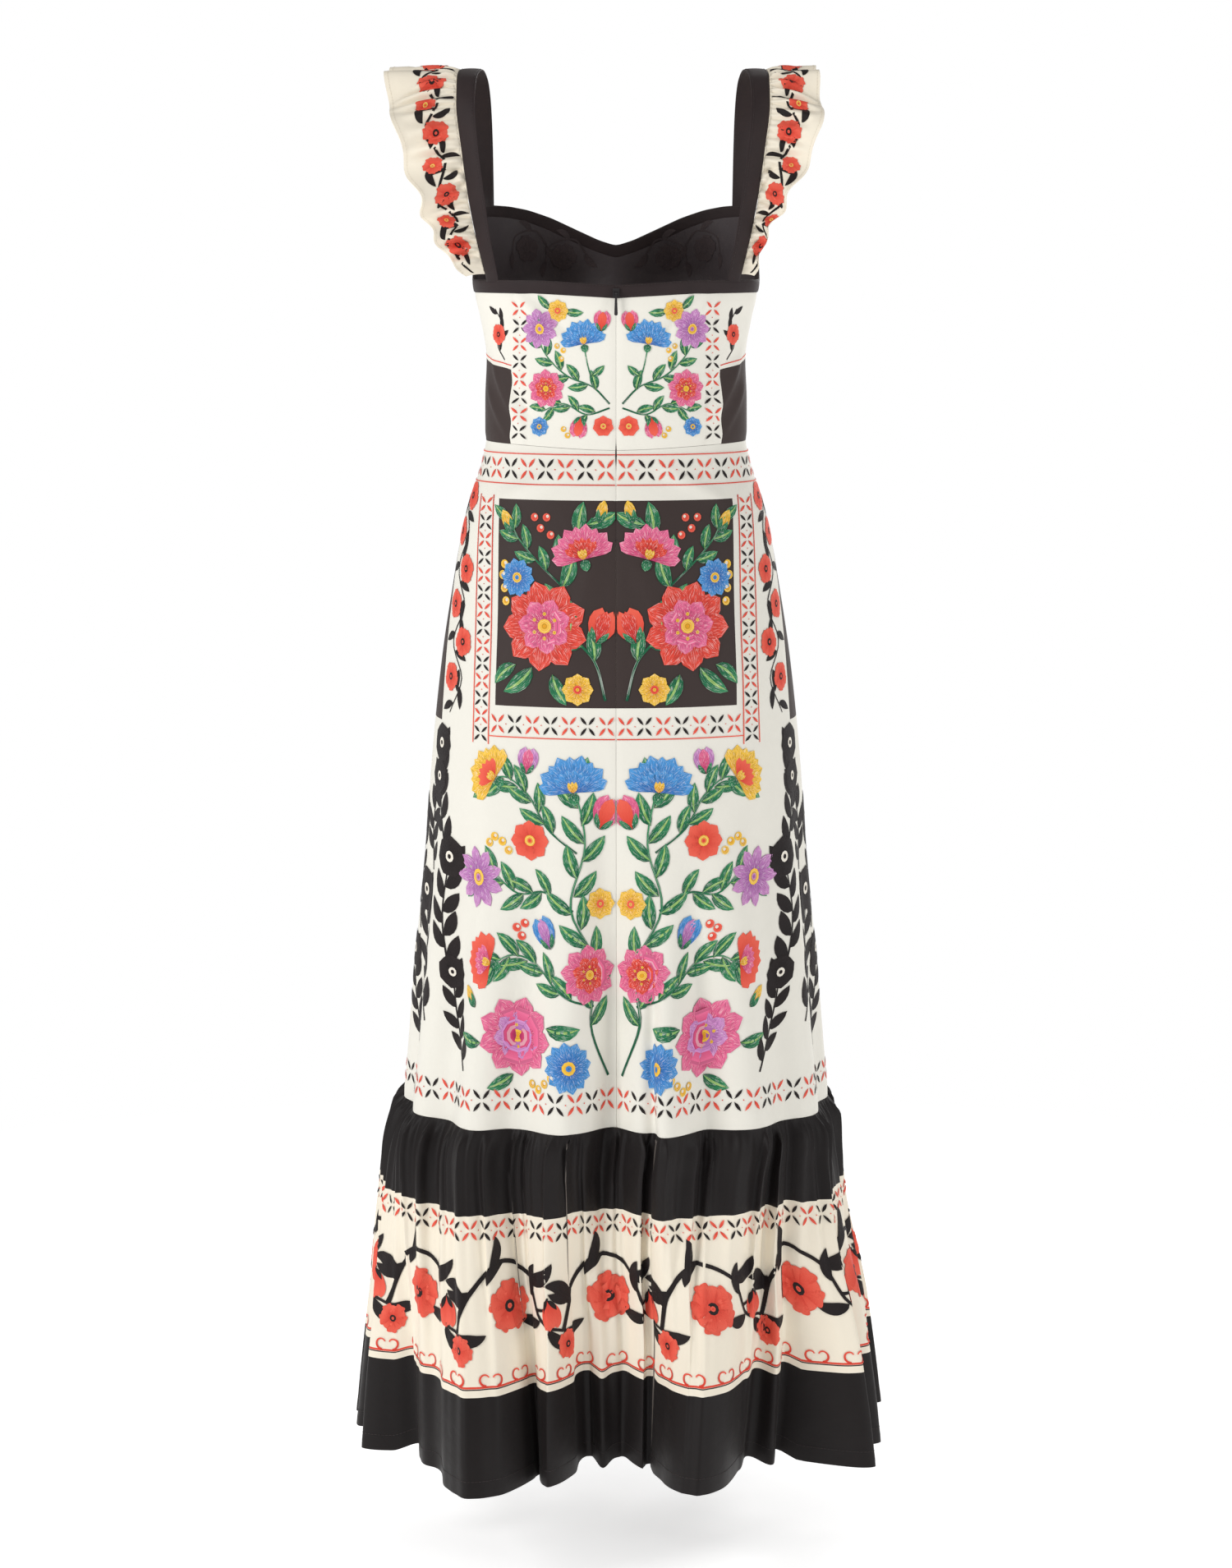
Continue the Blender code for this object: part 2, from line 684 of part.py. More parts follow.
def make_strap_ruffles(cream):
    """Gathered flutter ruffles sewn along the straps' outer edges."""
    steps = RUFFLE_PUCKERS * STEPS_PER_GATHER
    for side, sign, inset in SIDES:
        rows = strap_rows(inset)
        width_column = 1 if side == "right" else 2
        rows_out = [[] for _ in RUFFLE_ROWS]
        rows_in = [[] for _ in RUFFLE_ROWS]
        for k in range(steps + 1):
            place = k / steps
            count = k / STEPS_PER_GATHER
            outer, along, across = strap_edge(rows, RUFFLE_START + (1.0 - 2.0 * RUFFLE_START) * place)
            width, out, back, up = (
                curve_value(RUFFLE_STATIONS, place, c) for c in (width_column, 3, 4, 5)
            )
            spread = Vector((out, back, up)).normalized()
            normal = spread.cross(along).normalized()
            swing = RUFFLE_EDGE_SWING * math.sin(RUFFLE_EDGE_TURN * place)
            edge_wave = math.sin(2.0 * math.pi * (RUFFLE_WAVES * place + swing))
            calm = smooth_step(place / 0.06) * smooth_step((1.0 - place) / 0.06)
            for row, share in enumerate(RUFFLE_ROWS):
                pucker = RUFFLE_PUCKER_REACH * math.sin(math.pi * min(1.0, share / 0.5))
                pucker = max(0.0, pucker) * math.cos(2.0 * math.pi * count)
                wave = RUFFLE_WAVE_REACH * edge_wave * share**1.4
                middle = outer + across * RUFFLE_SEAM + spread * width * share
                middle = middle + normal * (pucker + wave) * calm
                middle.z -= RUFFLE_DROOP * share * share * width
                half = normal * (RUFFLE_THICK / 2)
                rows_out[row].append(mirrored(middle + half, sign))
                rows_in[row].append(mirrored(middle - half, sign))
        wall("strap_ruffle_" + side, rows_out, rows_in, cream)


def box_points(low, high):
    return [Vector((x, y, z)) for x in (low.x, high.x) for y in (low.y, high.y) for z in (low.z, high.z)]


BOX_FACES = [(0, 1, 3, 2), (4, 6, 7, 5), (0, 4, 5, 1), (2, 3, 7, 6), (0, 2, 6, 4), (1, 5, 7, 3)]


def make_zip(black, metal):
    """Closed back zip: tape inside the seam, slider at the top, pull hanging from it."""
    half = math.degrees(0.5 * ZIP_TAPE_WIDTH / BACK_RADIUS)
    panel_top = back_z(0.0) - BAND_HEIGHT - SEAM_GAP
    bodice = [panel_top + (waist_z(0.0) - panel_top) * k / BODICE_ROWS for k in range(BODICE_ROWS)]
    skirt = [waist_z(0.0) + (TIER_SEAM_Z - waist_z(0.0)) * share for share in SKIRT_ROWS]
    heights = [back_z(0.0) - ZIP_TAPE_DROP] + bodice
    heights += [z for z in skirt if z > ZIP_END_Z + ZIP_TAPE_DROP] + [ZIP_END_Z]
    turns = (-half, -half / 3, half / 3, half)
    face = -BAND_THICK - 2.0 * SEAM_GAP
    outer = [[on_body(a, z, face) for a in turns] for z in heights]
    inner = [[on_body(a, z, face - ZIP_TAPE_THICK) for a in turns] for z in heights]
    wall("zip_tape", outer, inner, black)

    width, depth, height = SLIDER_SIZE
    ends = (-height / 2, 0.0, height / 2)
    face_y = min(on_body(0.0, SLIDER_Z + dz).y for dz in ends) - SEAM_GAP
    plate_y = face_y - depth
    pin_y = plate_y - PIN_STAND
    plate = box_points(
        Vector((-width / 2, plate_y, SLIDER_Z - height / 2)),
        Vector((width / 2, face_y, SLIDER_Z + height / 2)),
    )
    slider = solid_from("zip_slider", plate, BOX_FACES, metal, smooth=False)
    ear_in = PULL_WIDTH / 2 + SEAM_GAP
    for number, sign in enumerate((1.0, -1.0)):
        xs = sorted((sign * ear_in, sign * (ear_in + SLIDER_EAR)))
        ear = box_points(
            Vector((xs[0], pin_y - EAR_HALF_HEIGHT, SLIDER_Z - EAR_HALF_HEIGHT)),
            Vector((xs[1], plate_y + EAR_ROOT, SLIDER_Z + EAR_HALF_HEIGHT)),
        )
        join(slider, solid_from("ear_%d" % number, ear, BOX_FACES, metal, smooth=False))
    pin = round_bar("pin", PIN_RADIUS, 2.0 * ear_in + SLIDER_EAR, (0.0, pin_y, SLIDER_Z), metal)
    join(slider, pin)
    make_pull(pin_y, metal)


def round_bar(name, radius, length, centre, mat, sides=12):
    """Bar of round section lying along X."""
    points = []
    for x in (-length / 2, length / 2):
        for k in range(sides):
            turn = 2.0 * math.pi * (k + 0.5) / sides
            offset = Vector((x, radius * math.cos(turn), radius * math.sin(turn)))
            points.append(Vector(centre) + offset)
    faces = [(k, (k + 1) % sides, sides + (k + 1) % sides, sides + k) for k in range(sides)]
    faces.append(tuple(range(sides)))
    faces.append(tuple(range(2 * sides - 1, sides - 1, -1)))
    return solid_from(name, points, faces, mat, smooth=False)


def apply_boolean(obj, tool, operation):
    cut = obj.modifiers.new("cut", "BOOLEAN")
    cut.operation = operation
    cut.object = tool
    cut.solver = "EXACT"
    bpy.context.view_layer.update()
    result = bpy.data.meshes.new_from_object(obj.evaluated_get(bpy.context.evaluated_depsgraph_get()))
    obj.modifiers.clear()
    obj.data = result
    bpy.data.objects.remove(tool, do_unlink=True)


def join(obj, tool):
    apply_boolean(obj, tool, "UNION")


def make_pull(pin_y, metal):
    """Slim drop-shaped pull whose eye turns on the slider's pin."""
    half = PULL_THICK / 2
    outline = []
    for k in range(7):
        turn = math.pi * k / 6
        outline.append((0.5 * PULL_WIDTH * math.cos(turn), -PULL_LENGTH - 0.4 * PULL_WIDTH * math.sin(turn)))
    neck = 0.30 * PULL_WIDTH
    neck_top = -PULL_EYE_RADIUS - PULL_EYE_WALL
    outline += [(-neck, -PULL_RIM_RADIUS), (-neck, neck_top), (neck, neck_top), (neck, -PULL_RIM_RADIUS)]
    count = len(outline)
    points = []
    for y in (pin_y - half, pin_y + half):
        points += [Vector((x, y, SLIDER_Z + z)) for x, z in outline]
    faces = [(k, (k + 1) % count, count + (k + 1) % count, count + k) for k in range(count)]
    faces.append(tuple(range(count)))
    faces.append(tuple(range(2 * count - 1, count - 1, -1)))
    pull = solid_from("zip_pull", points, faces, metal, smooth=False)
    rim = round_bar("rim", PULL_RIM_RADIUS, 0.6 * PULL_WIDTH, (0.0, pin_y, SLIDER_Z), metal, 16)
    join(pull, rim)
    eye = round_bar("eye", PULL_EYE_RADIUS, PULL_WIDTH, (0.0, pin_y, SLIDER_Z), metal, 16)
    apply_boolean(pull, eye, "DIFFERENCE")


def main():
    start_clean()
    cream = material("cream_cotton", (0.82, 0.79, 0.72))
    black = material("black_cotton", (0.035, 0.028, 0.028))
    ruffle = material("ruffle_cotton", (0.80, 0.74, 0.62))
    metal = material("dark_zip", (0.03, 0.03, 0.032), 0.4, 0.6)
    make_back_bodice(cream, black)
    make_front_bodice(cream, black)
    make_skirt(cream)
    make_tier(ruffle)
    make_straps(black)
    make_strap_ruffles(ruffle)
    make_zip(black, metal)


main()
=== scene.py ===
# Sleeveless long cotton dress seen from behind: black bands and straps, printed sateen
# bodice and skirt, flutter ruffles on the straps and a gathered tier at the hem.
# Metres, +Z up, +Y the wearer's front. Angles run round the body in degrees from centre back.
import math

import bmesh
import bpy
import numpy as np
from mathutils import Matrix, Vector


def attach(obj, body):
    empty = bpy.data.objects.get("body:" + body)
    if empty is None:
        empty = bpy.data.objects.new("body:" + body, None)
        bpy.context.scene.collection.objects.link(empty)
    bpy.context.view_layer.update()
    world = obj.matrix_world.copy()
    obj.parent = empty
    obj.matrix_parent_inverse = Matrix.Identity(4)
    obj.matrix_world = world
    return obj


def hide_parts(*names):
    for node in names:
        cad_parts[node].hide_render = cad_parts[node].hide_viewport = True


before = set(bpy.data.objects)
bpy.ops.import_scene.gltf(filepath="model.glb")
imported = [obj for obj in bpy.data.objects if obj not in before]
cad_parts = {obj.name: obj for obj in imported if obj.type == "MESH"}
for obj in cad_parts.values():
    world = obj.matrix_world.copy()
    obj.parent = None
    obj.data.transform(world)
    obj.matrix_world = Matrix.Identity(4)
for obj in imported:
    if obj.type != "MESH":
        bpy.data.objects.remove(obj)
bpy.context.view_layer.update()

# BACK BODICE
# Two fitted panels of printed cotton sateen, cut on the straight grain and parted by the
# centre-back zip. The side parts are black, and the cloth drags a little over the seams.

BODY_SECTIONS = (
    # height, half width, back depth, front depth, squareness of the ring
    (-0.09, 0.133, 0.094, 0.096, 2.5),
    (-0.13, 0.137, 0.097, 0.103, 2.5),
    (-0.165, 0.1385, 0.099, 0.108, 2.4),
    (-0.2, 0.137, 0.099, 0.112, 2.3),
    (-0.235, 0.1295, 0.096, 0.11, 2.2),
    (-0.272, 0.124, 0.091, 0.102, 2.2),
    (-0.31, 0.1255, 0.086, 0.094, 2.2),
    (-0.352, 0.1258, 0.082, 0.088, 2.2),
    (-0.375, 0.13, 0.088, 0.092, 2.2),
    (-0.4, 0.1385, 0.098, 0.099, 2.2),
    (-0.44, 0.1488, 0.113, 0.109, 2.2),
    (-0.49, 0.1577, 0.126, 0.118, 2.2),
    (-0.56, 0.1685, 0.139, 0.128, 2.2),
    (-0.66, 0.179, 0.15, 0.14, 2.2),
    (-0.755, 0.1855, 0.158, 0.149, 2.3),
    (-0.85, 0.193, 0.167, 0.16, 2.4),
    (-0.95, 0.199, 0.176, 0.172, 2.5),
    (-0.99, 0.2025, 0.18, 0.176, 2.6),
)
BUST_CUPS = ((149.0, -0.213, 0.021, 33.0, 0.075), (211.0, -0.213, 0.021, 33.0, 0.075))
SKIRT_FOLDS = (
    # angle, reach at the tier seam, half width in degrees, start height, lean
    (-84.0, 0.006, 11.0, -0.7, 0.0),
    (-62.0, 0.008, 12.0, -0.62, 0.0),
    (-41.0, 0.016, 10.0, -0.66, 0.5),
    (-18.0, 0.013, 9.0, -0.6, 0.5),
    (-1.5, -0.022, 10.0, -0.62, 0.0),
    (18.5, 0.021, 8.5, -0.7, -1.0),
    (38.0, 0.01, 12.0, -0.64, 0.0),
    (61.0, 0.008, 12.0, -0.6, 0.0),
    (84.0, 0.006, 11.0, -0.72, 0.0),
    (112.0, 0.009, 12.0, -0.66, 0.0),
    (138.0, 0.011, 12.0, -0.62, 0.3),
    (163.0, 0.012, 11.0, -0.7, 0.5),
    (184.0, -0.016, 10.0, -0.66, 0.0),
    (203.0, 0.012, 10.0, -0.6, -0.4),
    (229.0, 0.009, 12.0, -0.7, 0.0),
    (252.0, 0.009, 12.0, -0.64, 0.2),
)
# Creases as soft ridges and troughs: start angle and height, end angle and height, half
# width and reach in metres
CREASES = (
    (-49.0, -0.214, -31.0, -0.254, 0.0055, 0.0027),
    (-44.0, -0.212, -27.0, -0.247, 0.005, -0.0024),
    (47.0, -0.216, 30.0, -0.254, 0.0055, 0.0027),
    (42.0, -0.213, 26.0, -0.248, 0.005, -0.0022),
    (-72.0, -0.275, -54.0, -0.338, 0.006, 0.0031),
    (-66.0, -0.272, -49.0, -0.33, 0.0055, -0.002),
    (74.0, -0.27, 53.0, -0.335, 0.006, 0.0031),
    (66.0, -0.268, 48.0, -0.322, 0.0055, -0.002),
    (-78.0, -0.3, -62.0, -0.345, 0.005, 0.002),
    (79.0, -0.296, 60.0, -0.346, 0.005, 0.002),
    (-38.0, -0.32, -12.0, -0.336, 0.006, 0.0015),
    (34.0, -0.318, 10.0, -0.338, 0.006, 0.0014),
    (108.0, -0.275, 132.0, -0.322, 0.006, 0.0027),
    (252.0, -0.272, 230.0, -0.325, 0.006, 0.0029),
    (120.0, -0.3, 158.0, -0.338, 0.007, 0.002),
    (240.0, -0.296, 205.0, -0.336, 0.007, 0.002),
    (-30.0, -0.372, -58.0, -0.4, 0.008, 0.0027),
    (28.0, -0.372, 55.0, -0.404, 0.008, 0.0027),
    (-8.0, -0.44, -20.0, -0.56, 0.012, 0.0018),
    (10.0, -0.452, 24.0, -0.56, 0.012, 0.0018),
    (-40.0, -0.5, -47.0, -0.7, 0.015, 0.0028),
    (44.0, -0.52, 50.0, -0.72, 0.015, 0.0028),
    (-12.0, -0.7, -11.0, -0.99, 0.011, 0.0052),
    (-28.0, -0.76, -30.0, -0.99, 0.012, -0.0045),
    (9.0, -0.73, 8.0, -0.99, 0.01, 0.0042),
    (26.0, -0.8, 27.5, -0.99, 0.009, -0.0052),
    (-52.0, -0.72, -53.0, -0.99, 0.012, -0.0042),
    (50.0, -0.7, 52.0, -0.99, 0.012, -0.004),
    (-72.0, -0.7, -75.0, -0.99, 0.012, -0.0032),
    (73.0, -0.69, 76.0, -0.99, 0.012, -0.0032),
    (126.0, -0.64, 127.0, -0.99, 0.014, -0.0042),
    (151.0, -0.72, 152.0, -0.99, 0.013, -0.0047),
    (175.0, -0.7, 173.0, -0.99, 0.012, 0.0045),
    (194.0, -0.69, 195.0, -0.99, 0.012, 0.0045),
    (216.0, -0.66, 217.0, -0.99, 0.013, -0.0047),
    (240.0, -0.7, 241.0, -0.99, 0.013, -0.0037),
)
CREASE_ROUND = 0.135
WAIST_SIDE_Z = -0.35
WAIST_BACK_DIP = 0.0055
TIER_SEAM_Z = -0.99
BAND_HEIGHT = 0.0122
SEAM_GAP = 0.0003
GAPE = 0.0008
GAPE_Z = -0.36
CLOTH = 0.0009
CUT_STEP = 0.002
STITCH_LIFT = 0.00006
BACK_EDGE = ((0.0, -0.201), (20.0, -0.199), (45.0, -0.197), (68.0, -0.197), (86.0, -0.1972))
ARMHOLE_EDGE = (
    (86.0, -0.1972),
    (92.0, -0.1955),
    (97.0, -0.185),
    (101.0, -0.165),
    (104.5, -0.144),
    (107.5, -0.127),
)


def smooth_step(value):
    value = np.clip(value, 0.0, 1.0)
    return value * value * (3.0 - 2.0 * value)


def curve_value(rows, position, column):
    """Values of one column where the first column equals position, on a smooth curve."""
    table = np.array(rows, float)
    if table[0, 0] > table[-1, 0]:
        table = table[::-1]
    keys = table[:, 0]
    values = table[:, column]
    steps = np.diff(values) / np.diff(keys)
    before, after = steps[:-1], steps[1:]
    same_way = before * after > 0.0
    total = np.where(same_way, before + after, 1.0)
    middle = np.where(same_way, 2.0 * before * after / total, 0.0)
    slopes = np.concatenate(([steps[0]], middle, [steps[-1]]))
    place = np.clip(position, keys[0], keys[-1])
    low = np.clip(np.searchsorted(keys, place, side="right") - 1, 0, len(keys) - 2)
    span = keys[low + 1] - keys[low]
    t = (place - keys[low]) / span
    rise = (2 * t**3 - 3 * t**2 + 1) * values[low] + (3 * t**2 - 2 * t**3) * values[low + 1]
    bend = (t**3 - 2 * t**2 + t) * slopes[low] + (t**3 - t**2) * slopes[low + 1]
    return rise + bend * span


def unit(vectors):
    return vectors / np.linalg.norm(vectors, axis=-1, keepdims=True)


def turn_between(turn, other):
    return (turn - other + 180.0) % 360.0 - 180.0


def bump(turn, centre, half_width):
    share = np.minimum(1.0, np.abs(turn_between(turn, centre)) / half_width)
    return 0.5 + 0.5 * np.cos(np.pi * share)


def ring_radius(turn, half_width, back, front, square):
    angle = np.radians(turn)
    depth = np.where(np.cos(angle) > 0.0, back, front)
    across = (np.abs(np.sin(angle)) / half_width) ** square
    along = (np.abs(np.cos(angle)) / depth) ** square
    return (across + along) ** (-1.0 / square)


def ring_point(turn, radius, out, lean, z):
    angle = np.radians(turn)
    x = np.sin(angle) * (radius + out) + np.cos(angle) * lean
    y = -np.cos(angle) * (radius + out) + np.sin(angle) * lean
    return np.stack((x, y, z), axis=-1)


def crease_reach(turn, z):
    """How far the small creases lift the cloth at each place."""
    reach = np.zeros_like(z)
    for turn_a, z_a, turn_b, z_b, half_width, height in CREASES:
        ax = np.radians(turn_between(turn, turn_a)) * CREASE_ROUND
        az = z - z_a
        bx = math.radians(turn_b - turn_a) * CREASE_ROUND
        bz = z_b - z_a
        length = math.hypot(bx, bz)
        along = (ax * bx + az * bz) / length**2
        aside = (ax * bz - az * bx) / length
        ends = smooth_step((along + 0.25) / 0.5)
        if z_b > TIER_SEAM_Z + 0.01:
            ends = ends * smooth_step((1.25 - along) / 0.5)
        reach += height * ends * np.exp(-((aside / half_width) ** 2))
    return reach


def body_face(turn, z):
    """Outer face of the bodice and the skirt at each angle and height."""
    turn, z = np.broadcast_arrays(np.asarray(turn, float), np.asarray(z, float))
    half_width, back, front, square = (curve_value(BODY_SECTIONS, z, c) for c in (1, 2, 3, 4))
    radius = ring_radius(turn, half_width, back, front, square)
    for centre, height, reach, cup_width, cup_height in BUST_CUPS:
        share = np.minimum(1.0, np.abs(z - height) / cup_height)
        radius = radius + reach * bump(turn, centre, cup_width) * (0.5 + 0.5 * np.cos(np.pi * share))
    out = crease_reach(turn, z)
    lean = np.zeros_like(z)
    for centre, reach, half_turn, start, tilt in SKIRT_FOLDS:
        growth = smooth_step((start - z) / (start - TIER_SEAM_Z))
        height = reach * growth * bump(turn, centre, half_turn)
        out = out + height
        lean = lean + tilt * height
    return ring_point(turn, radius, out, lean, z)


def face_and_normal(face, first, second, first_step, second_step):
    """Points of a face and the directions straight out of it."""
    across = face(first + first_step, second) - face(first - first_step, second)
    upward = face(first, second + second_step) - face(first, second - second_step)
    return face(first, second), unit(np.cross(across, upward))


def on_body(turn, z):
    return face_and_normal(body_face, turn, z, 0.15, 0.0006)


def arc_table(face, turns, levels, start):
    """Length of cloth round a face from its start to each turn, at each level."""
    points = face(turns[None, :], levels[:, None])
    steps = np.linalg.norm(np.diff(points, axis=1), axis=-1)
    lengths = np.concatenate((np.zeros((len(levels), 1)), np.cumsum(steps, axis=1)), axis=1)
    begin = np.array([np.interp(start, turns, row) for row in lengths])
    return lengths - begin[:, None]


def grid_value(grid, i, j):
    """Value at a fractional row and column of a grid."""
    i, j = np.clip(i, 0, grid.shape[0] - 1.001), np.clip(j, 0, grid.shape[1] - 1.001)
    low, left = i.astype(int), j.astype(int)
    a, b = i - low, j - left
    upper = grid[low, left] * (1 - b) + grid[low, left + 1] * b
    lower = grid[low + 1, left] * (1 - b) + grid[low + 1, left + 1] * b
    return upper * (1 - a) + lower * a


class FlatCloth:
    """Turns places on the flat cut, across and up, into places on the worn cloth."""

    def __init__(self, face, turns, levels, start, reach=0.6, spread=False):
        lengths = arc_table(face, turns, levels, start)
        if spread:
            middle = lengths[len(levels) // 2]
            scale = (middle[-1] - middle[0]) / (lengths[:, -1] - lengths[:, 0])
            lengths = lengths * scale[:, None]
        self.levels, self.fine, self.lengths = levels, turns, lengths
        self.places = np.arange(-reach, reach + 0.001, CUT_STEP)
        self.turns = np.array([np.interp(self.places, row, turns) for row in lengths])

    def row(self, level):
        return np.interp(level, self.levels, np.arange(len(self.levels)))

    def turn_at(self, across, level):
        """The turn round the face at a place across the cloth on one level."""
        return grid_value(self.turns, self.row(level), (across - self.places[0]) / CUT_STEP)

    def across_at(self, turn, level):
        """The place across the cloth at a turn round the face on one level."""
        column = np.interp(turn, self.fine, np.arange(len(self.fine)))
        return grid_value(self.lengths, self.row(level), column)


body_levels = np.linspace(-1.0, -0.1, 91)
back_cloth = FlatCloth(body_face, np.linspace(-96.0, 96.0, 385), body_levels, 0.0)
front_cloth = FlatCloth(body_face, np.linspace(84.0, 276.0, 385), body_levels, 180.0)


def srgb(red, green, blue):
    """Shader colour of a colour read off the cloth in steps of 255."""
    steps = (c / 255.0 for c in (red, green, blue))
    return tuple(s / 12.92 if s <= 0.04045 else ((s + 0.055) / 1.055) ** 2.4 for s in steps) + (1.0,)


def sum_of(operation, swapped=False):
    """One operator of Amount, or its reflected form."""

    def apply(self, other):
        pair = (other, self) if swapped else (self, other)
        return self.finish.node("ShaderNodeMath", {"operation": operation}, dict(enumerate(pair))).out(0)

    return apply


class Amount:
    """A socket's number, which takes part in sums as a plain number does."""

    __add__, __radd__ = sum_of("ADD"), sum_of("ADD", True)
    __sub__, __rsub__ = sum_of("SUBTRACT"), sum_of("SUBTRACT", True)
    __mul__, __rmul__ = sum_of("MULTIPLY"), sum_of("MULTIPLY", True)
    __gt__, __lt__ = sum_of("GREATER_THAN"), sum_of("LESS_THAN")

    def __init__(self, finish, socket):
        self.finish, self.socket = finish, socket

    def size(self):
        return self.finish.node("ShaderNodeMath", {"operation": "ABSOLUTE"}, {0: self}).out(0)


class Node:
    def __init__(self, finish, node):
        self.finish, self.node = finish, node

    def out(self, which):
        return Amount(self.finish, self.node.outputs[which])


class Finish:
    """One material, built node by node."""

    def __init__(self, name):
        self.material = bpy.data.materials.new(name)
        self.material.use_nodes = True
        self.tree = self.material.node_tree
        self.shader = self.tree.nodes["Principled BSDF"]

    def feed(self, socket, value):
        if isinstance(value, Amount):
            self.tree.links.new(value.socket, socket)
        else:
            socket.default_value = value

    def node(self, kind, settings=None, inputs=None):
        """A node of any kind: its settings are set first, then its sockets."""
        made = self.tree.nodes.new(kind)
        for key, value in (settings or {}).items():
            setattr(made, key, value)
        for key, value in (inputs or {}).items():
            self.feed(made.inputs[key], value)
        return Node(self, made)

    def blend(self, share, first, second, way="MIX"):
        """Colour between a first and a second one."""
        settings = {"data_type": "RGBA", "blend_type": way}
        return self.node("ShaderNodeMix", settings, {"Factor": share, 6: first, 7: second}).out(2)

    def noise(self, place, scale, detail=2.0, rough=0.5):
        inputs = {"Vector": place, "Scale": scale, "Detail": detail, "Roughness": rough}
        return self.node("ShaderNodeTexNoise", {"noise_dimensions": "3D"}, inputs).out(0)

    def stretched(self, vector, scale):
        return self.node("ShaderNodeMapping", None, {"Vector": vector, "Scale": scale}).out(0)

    def place(self):
        return self.node("ShaderNodeTexCoord").out("Object")

    def cut(self, name="cut"):
        """Across and up on the flat cut, in metres, and both as one vector."""
        vector = self.node("ShaderNodeUVMap", {"uv_map": name}).out(0)
        parts = self.node("ShaderNodeSeparateXYZ", None, {0: vector})
        return parts.out(0), parts.out(1), vector

    def surface(self, colour, roughness, bumps=(), sheen=None, **constants):
        """Feeds the shader; bumps are pairs of a height and a strength in metres."""
        self.feed(self.shader.inputs["Base Color"], colour)
        self.feed(self.shader.inputs["Roughness"], roughness)
        normal = None
        for height, distance in bumps:
            inputs = {"Height": height, "Distance": distance, "Strength": 1.0}
            if normal is not None:
                inputs["Normal"] = normal
            normal = self.node("ShaderNodeBump", None, inputs).out(0)
        if normal is not None:
            self.feed(self.shader.inputs["Normal"], normal)
        if sheen:
            for key, value in zip(("Weight", "Roughness", "Tint"), sheen):
                self.shader.inputs["Sheen " + key].default_value = value
        for key, value in constants.items():
            self.shader.inputs[SHADER_SOCKETS[key]].default_value = value
        return self.material


SHADER_SOCKETS = {
    "specular": "Specular IOR Level",
    "metallic": "Metallic",
    "glow": "Emission Color",
    "glow_strength": "Emission Strength",
}


def sateen_weave(finish, vector):
    """Fine long floats of the sateen, and the soft unevenness of worn cotton."""
    floats = finish.noise(finish.stretched(vector, (2600.0, 900.0, 1.0)), 1.0, 1.0)
    return floats, finish.noise(vector, 34.0, 3.0, 0.55)


CREAM = srgb(234, 231, 221)
WARM_CREAM = srgb(240, 231, 213)
WARM_BLACK = srgb(62, 52, 50)
DEEP_BLACK = srgb(22, 17, 17)
SOFT_BLACK = srgb(48, 41, 40)


def sateen(name, ground, gloss, tint):
    """Cotton sateen finish from a ground colour, smoother where gloss is more."""
    finish = Finish(name)
    across, up, vector = finish.cut()
    floats, uneven = sateen_weave(finish, vector)
    colour = ground(finish, across, up) if callable(ground) else ground
    shaded = finish.blend(uneven * 0.1, colour, tint, "MULTIPLY")
    return finish.surface(
        finish.blend(floats * 0.06, shaded, (0.55, 0.53, 0.5, 1.0), "MULTIPLY"),
        0.56 - gloss + 0.12 * uneven,
        ((uneven, 0.001), (floats, 0.00006)),
        (0.05, 0.45, (1.0, 0.98, 0.95, 1.0)),
        specular=0.16 + gloss,
    )


BLOCK_INNER = 0.1065
BLOCK_TOP = -0.281


def bodice_ground(finish, across, up):
    """Cream ground with a black part low at each side."""
    side = across.size()
    rise = 0.16 * (side - BLOCK_INNER)
    black = (side > BLOCK_INNER) * (up < rise + BLOCK_TOP)
    return finish.blend(black, CREAM, WARM_BLACK)


bodice_sateen = sateen("bodice_sateen", bodice_ground, 0.0, (0.93, 0.91, 0.86, 1.0))
wrong_side = sateen("wrong_side_of_sateen", srgb(214, 208, 196), 0.0, (0.93, 0.91, 0.88, 1.0))


def show(name, data):
    piece = bpy.data.objects.new(name, data)
    bpy.context.collection.objects.link(piece)
    return piece


def new_mesh(name, points, faces, materials, slots=None):
    mesh = bpy.data.meshes.new(name)
    mesh.from_pydata(points.tolist(), [], faces)
    for material in materials:
        mesh.materials.append(material)
    if slots is not None:
        mesh.polygons.foreach_set("material_index", slots)
    return mesh


def add_cut(mesh, name, places):
    """The flat place of every point, as a UV map."""
    corner = np.empty(len(mesh.loops), int)
    mesh.loops.foreach_get("vertex_index", corner)
    mesh.uv_layers.new(name=name).data.foreach_set("uv", places[corner].ravel())


def face_outwards(mesh):
    work = bmesh.new()
    work.from_mesh(mesh)
    bmesh.ops.recalc_face_normals(work, faces=work.faces)
    work.to_mesh(mesh)
    work.free()
    mesh.shade_smooth()


def quads(*corners):
    return np.stack(corners, axis=-1).reshape(-1, 4)


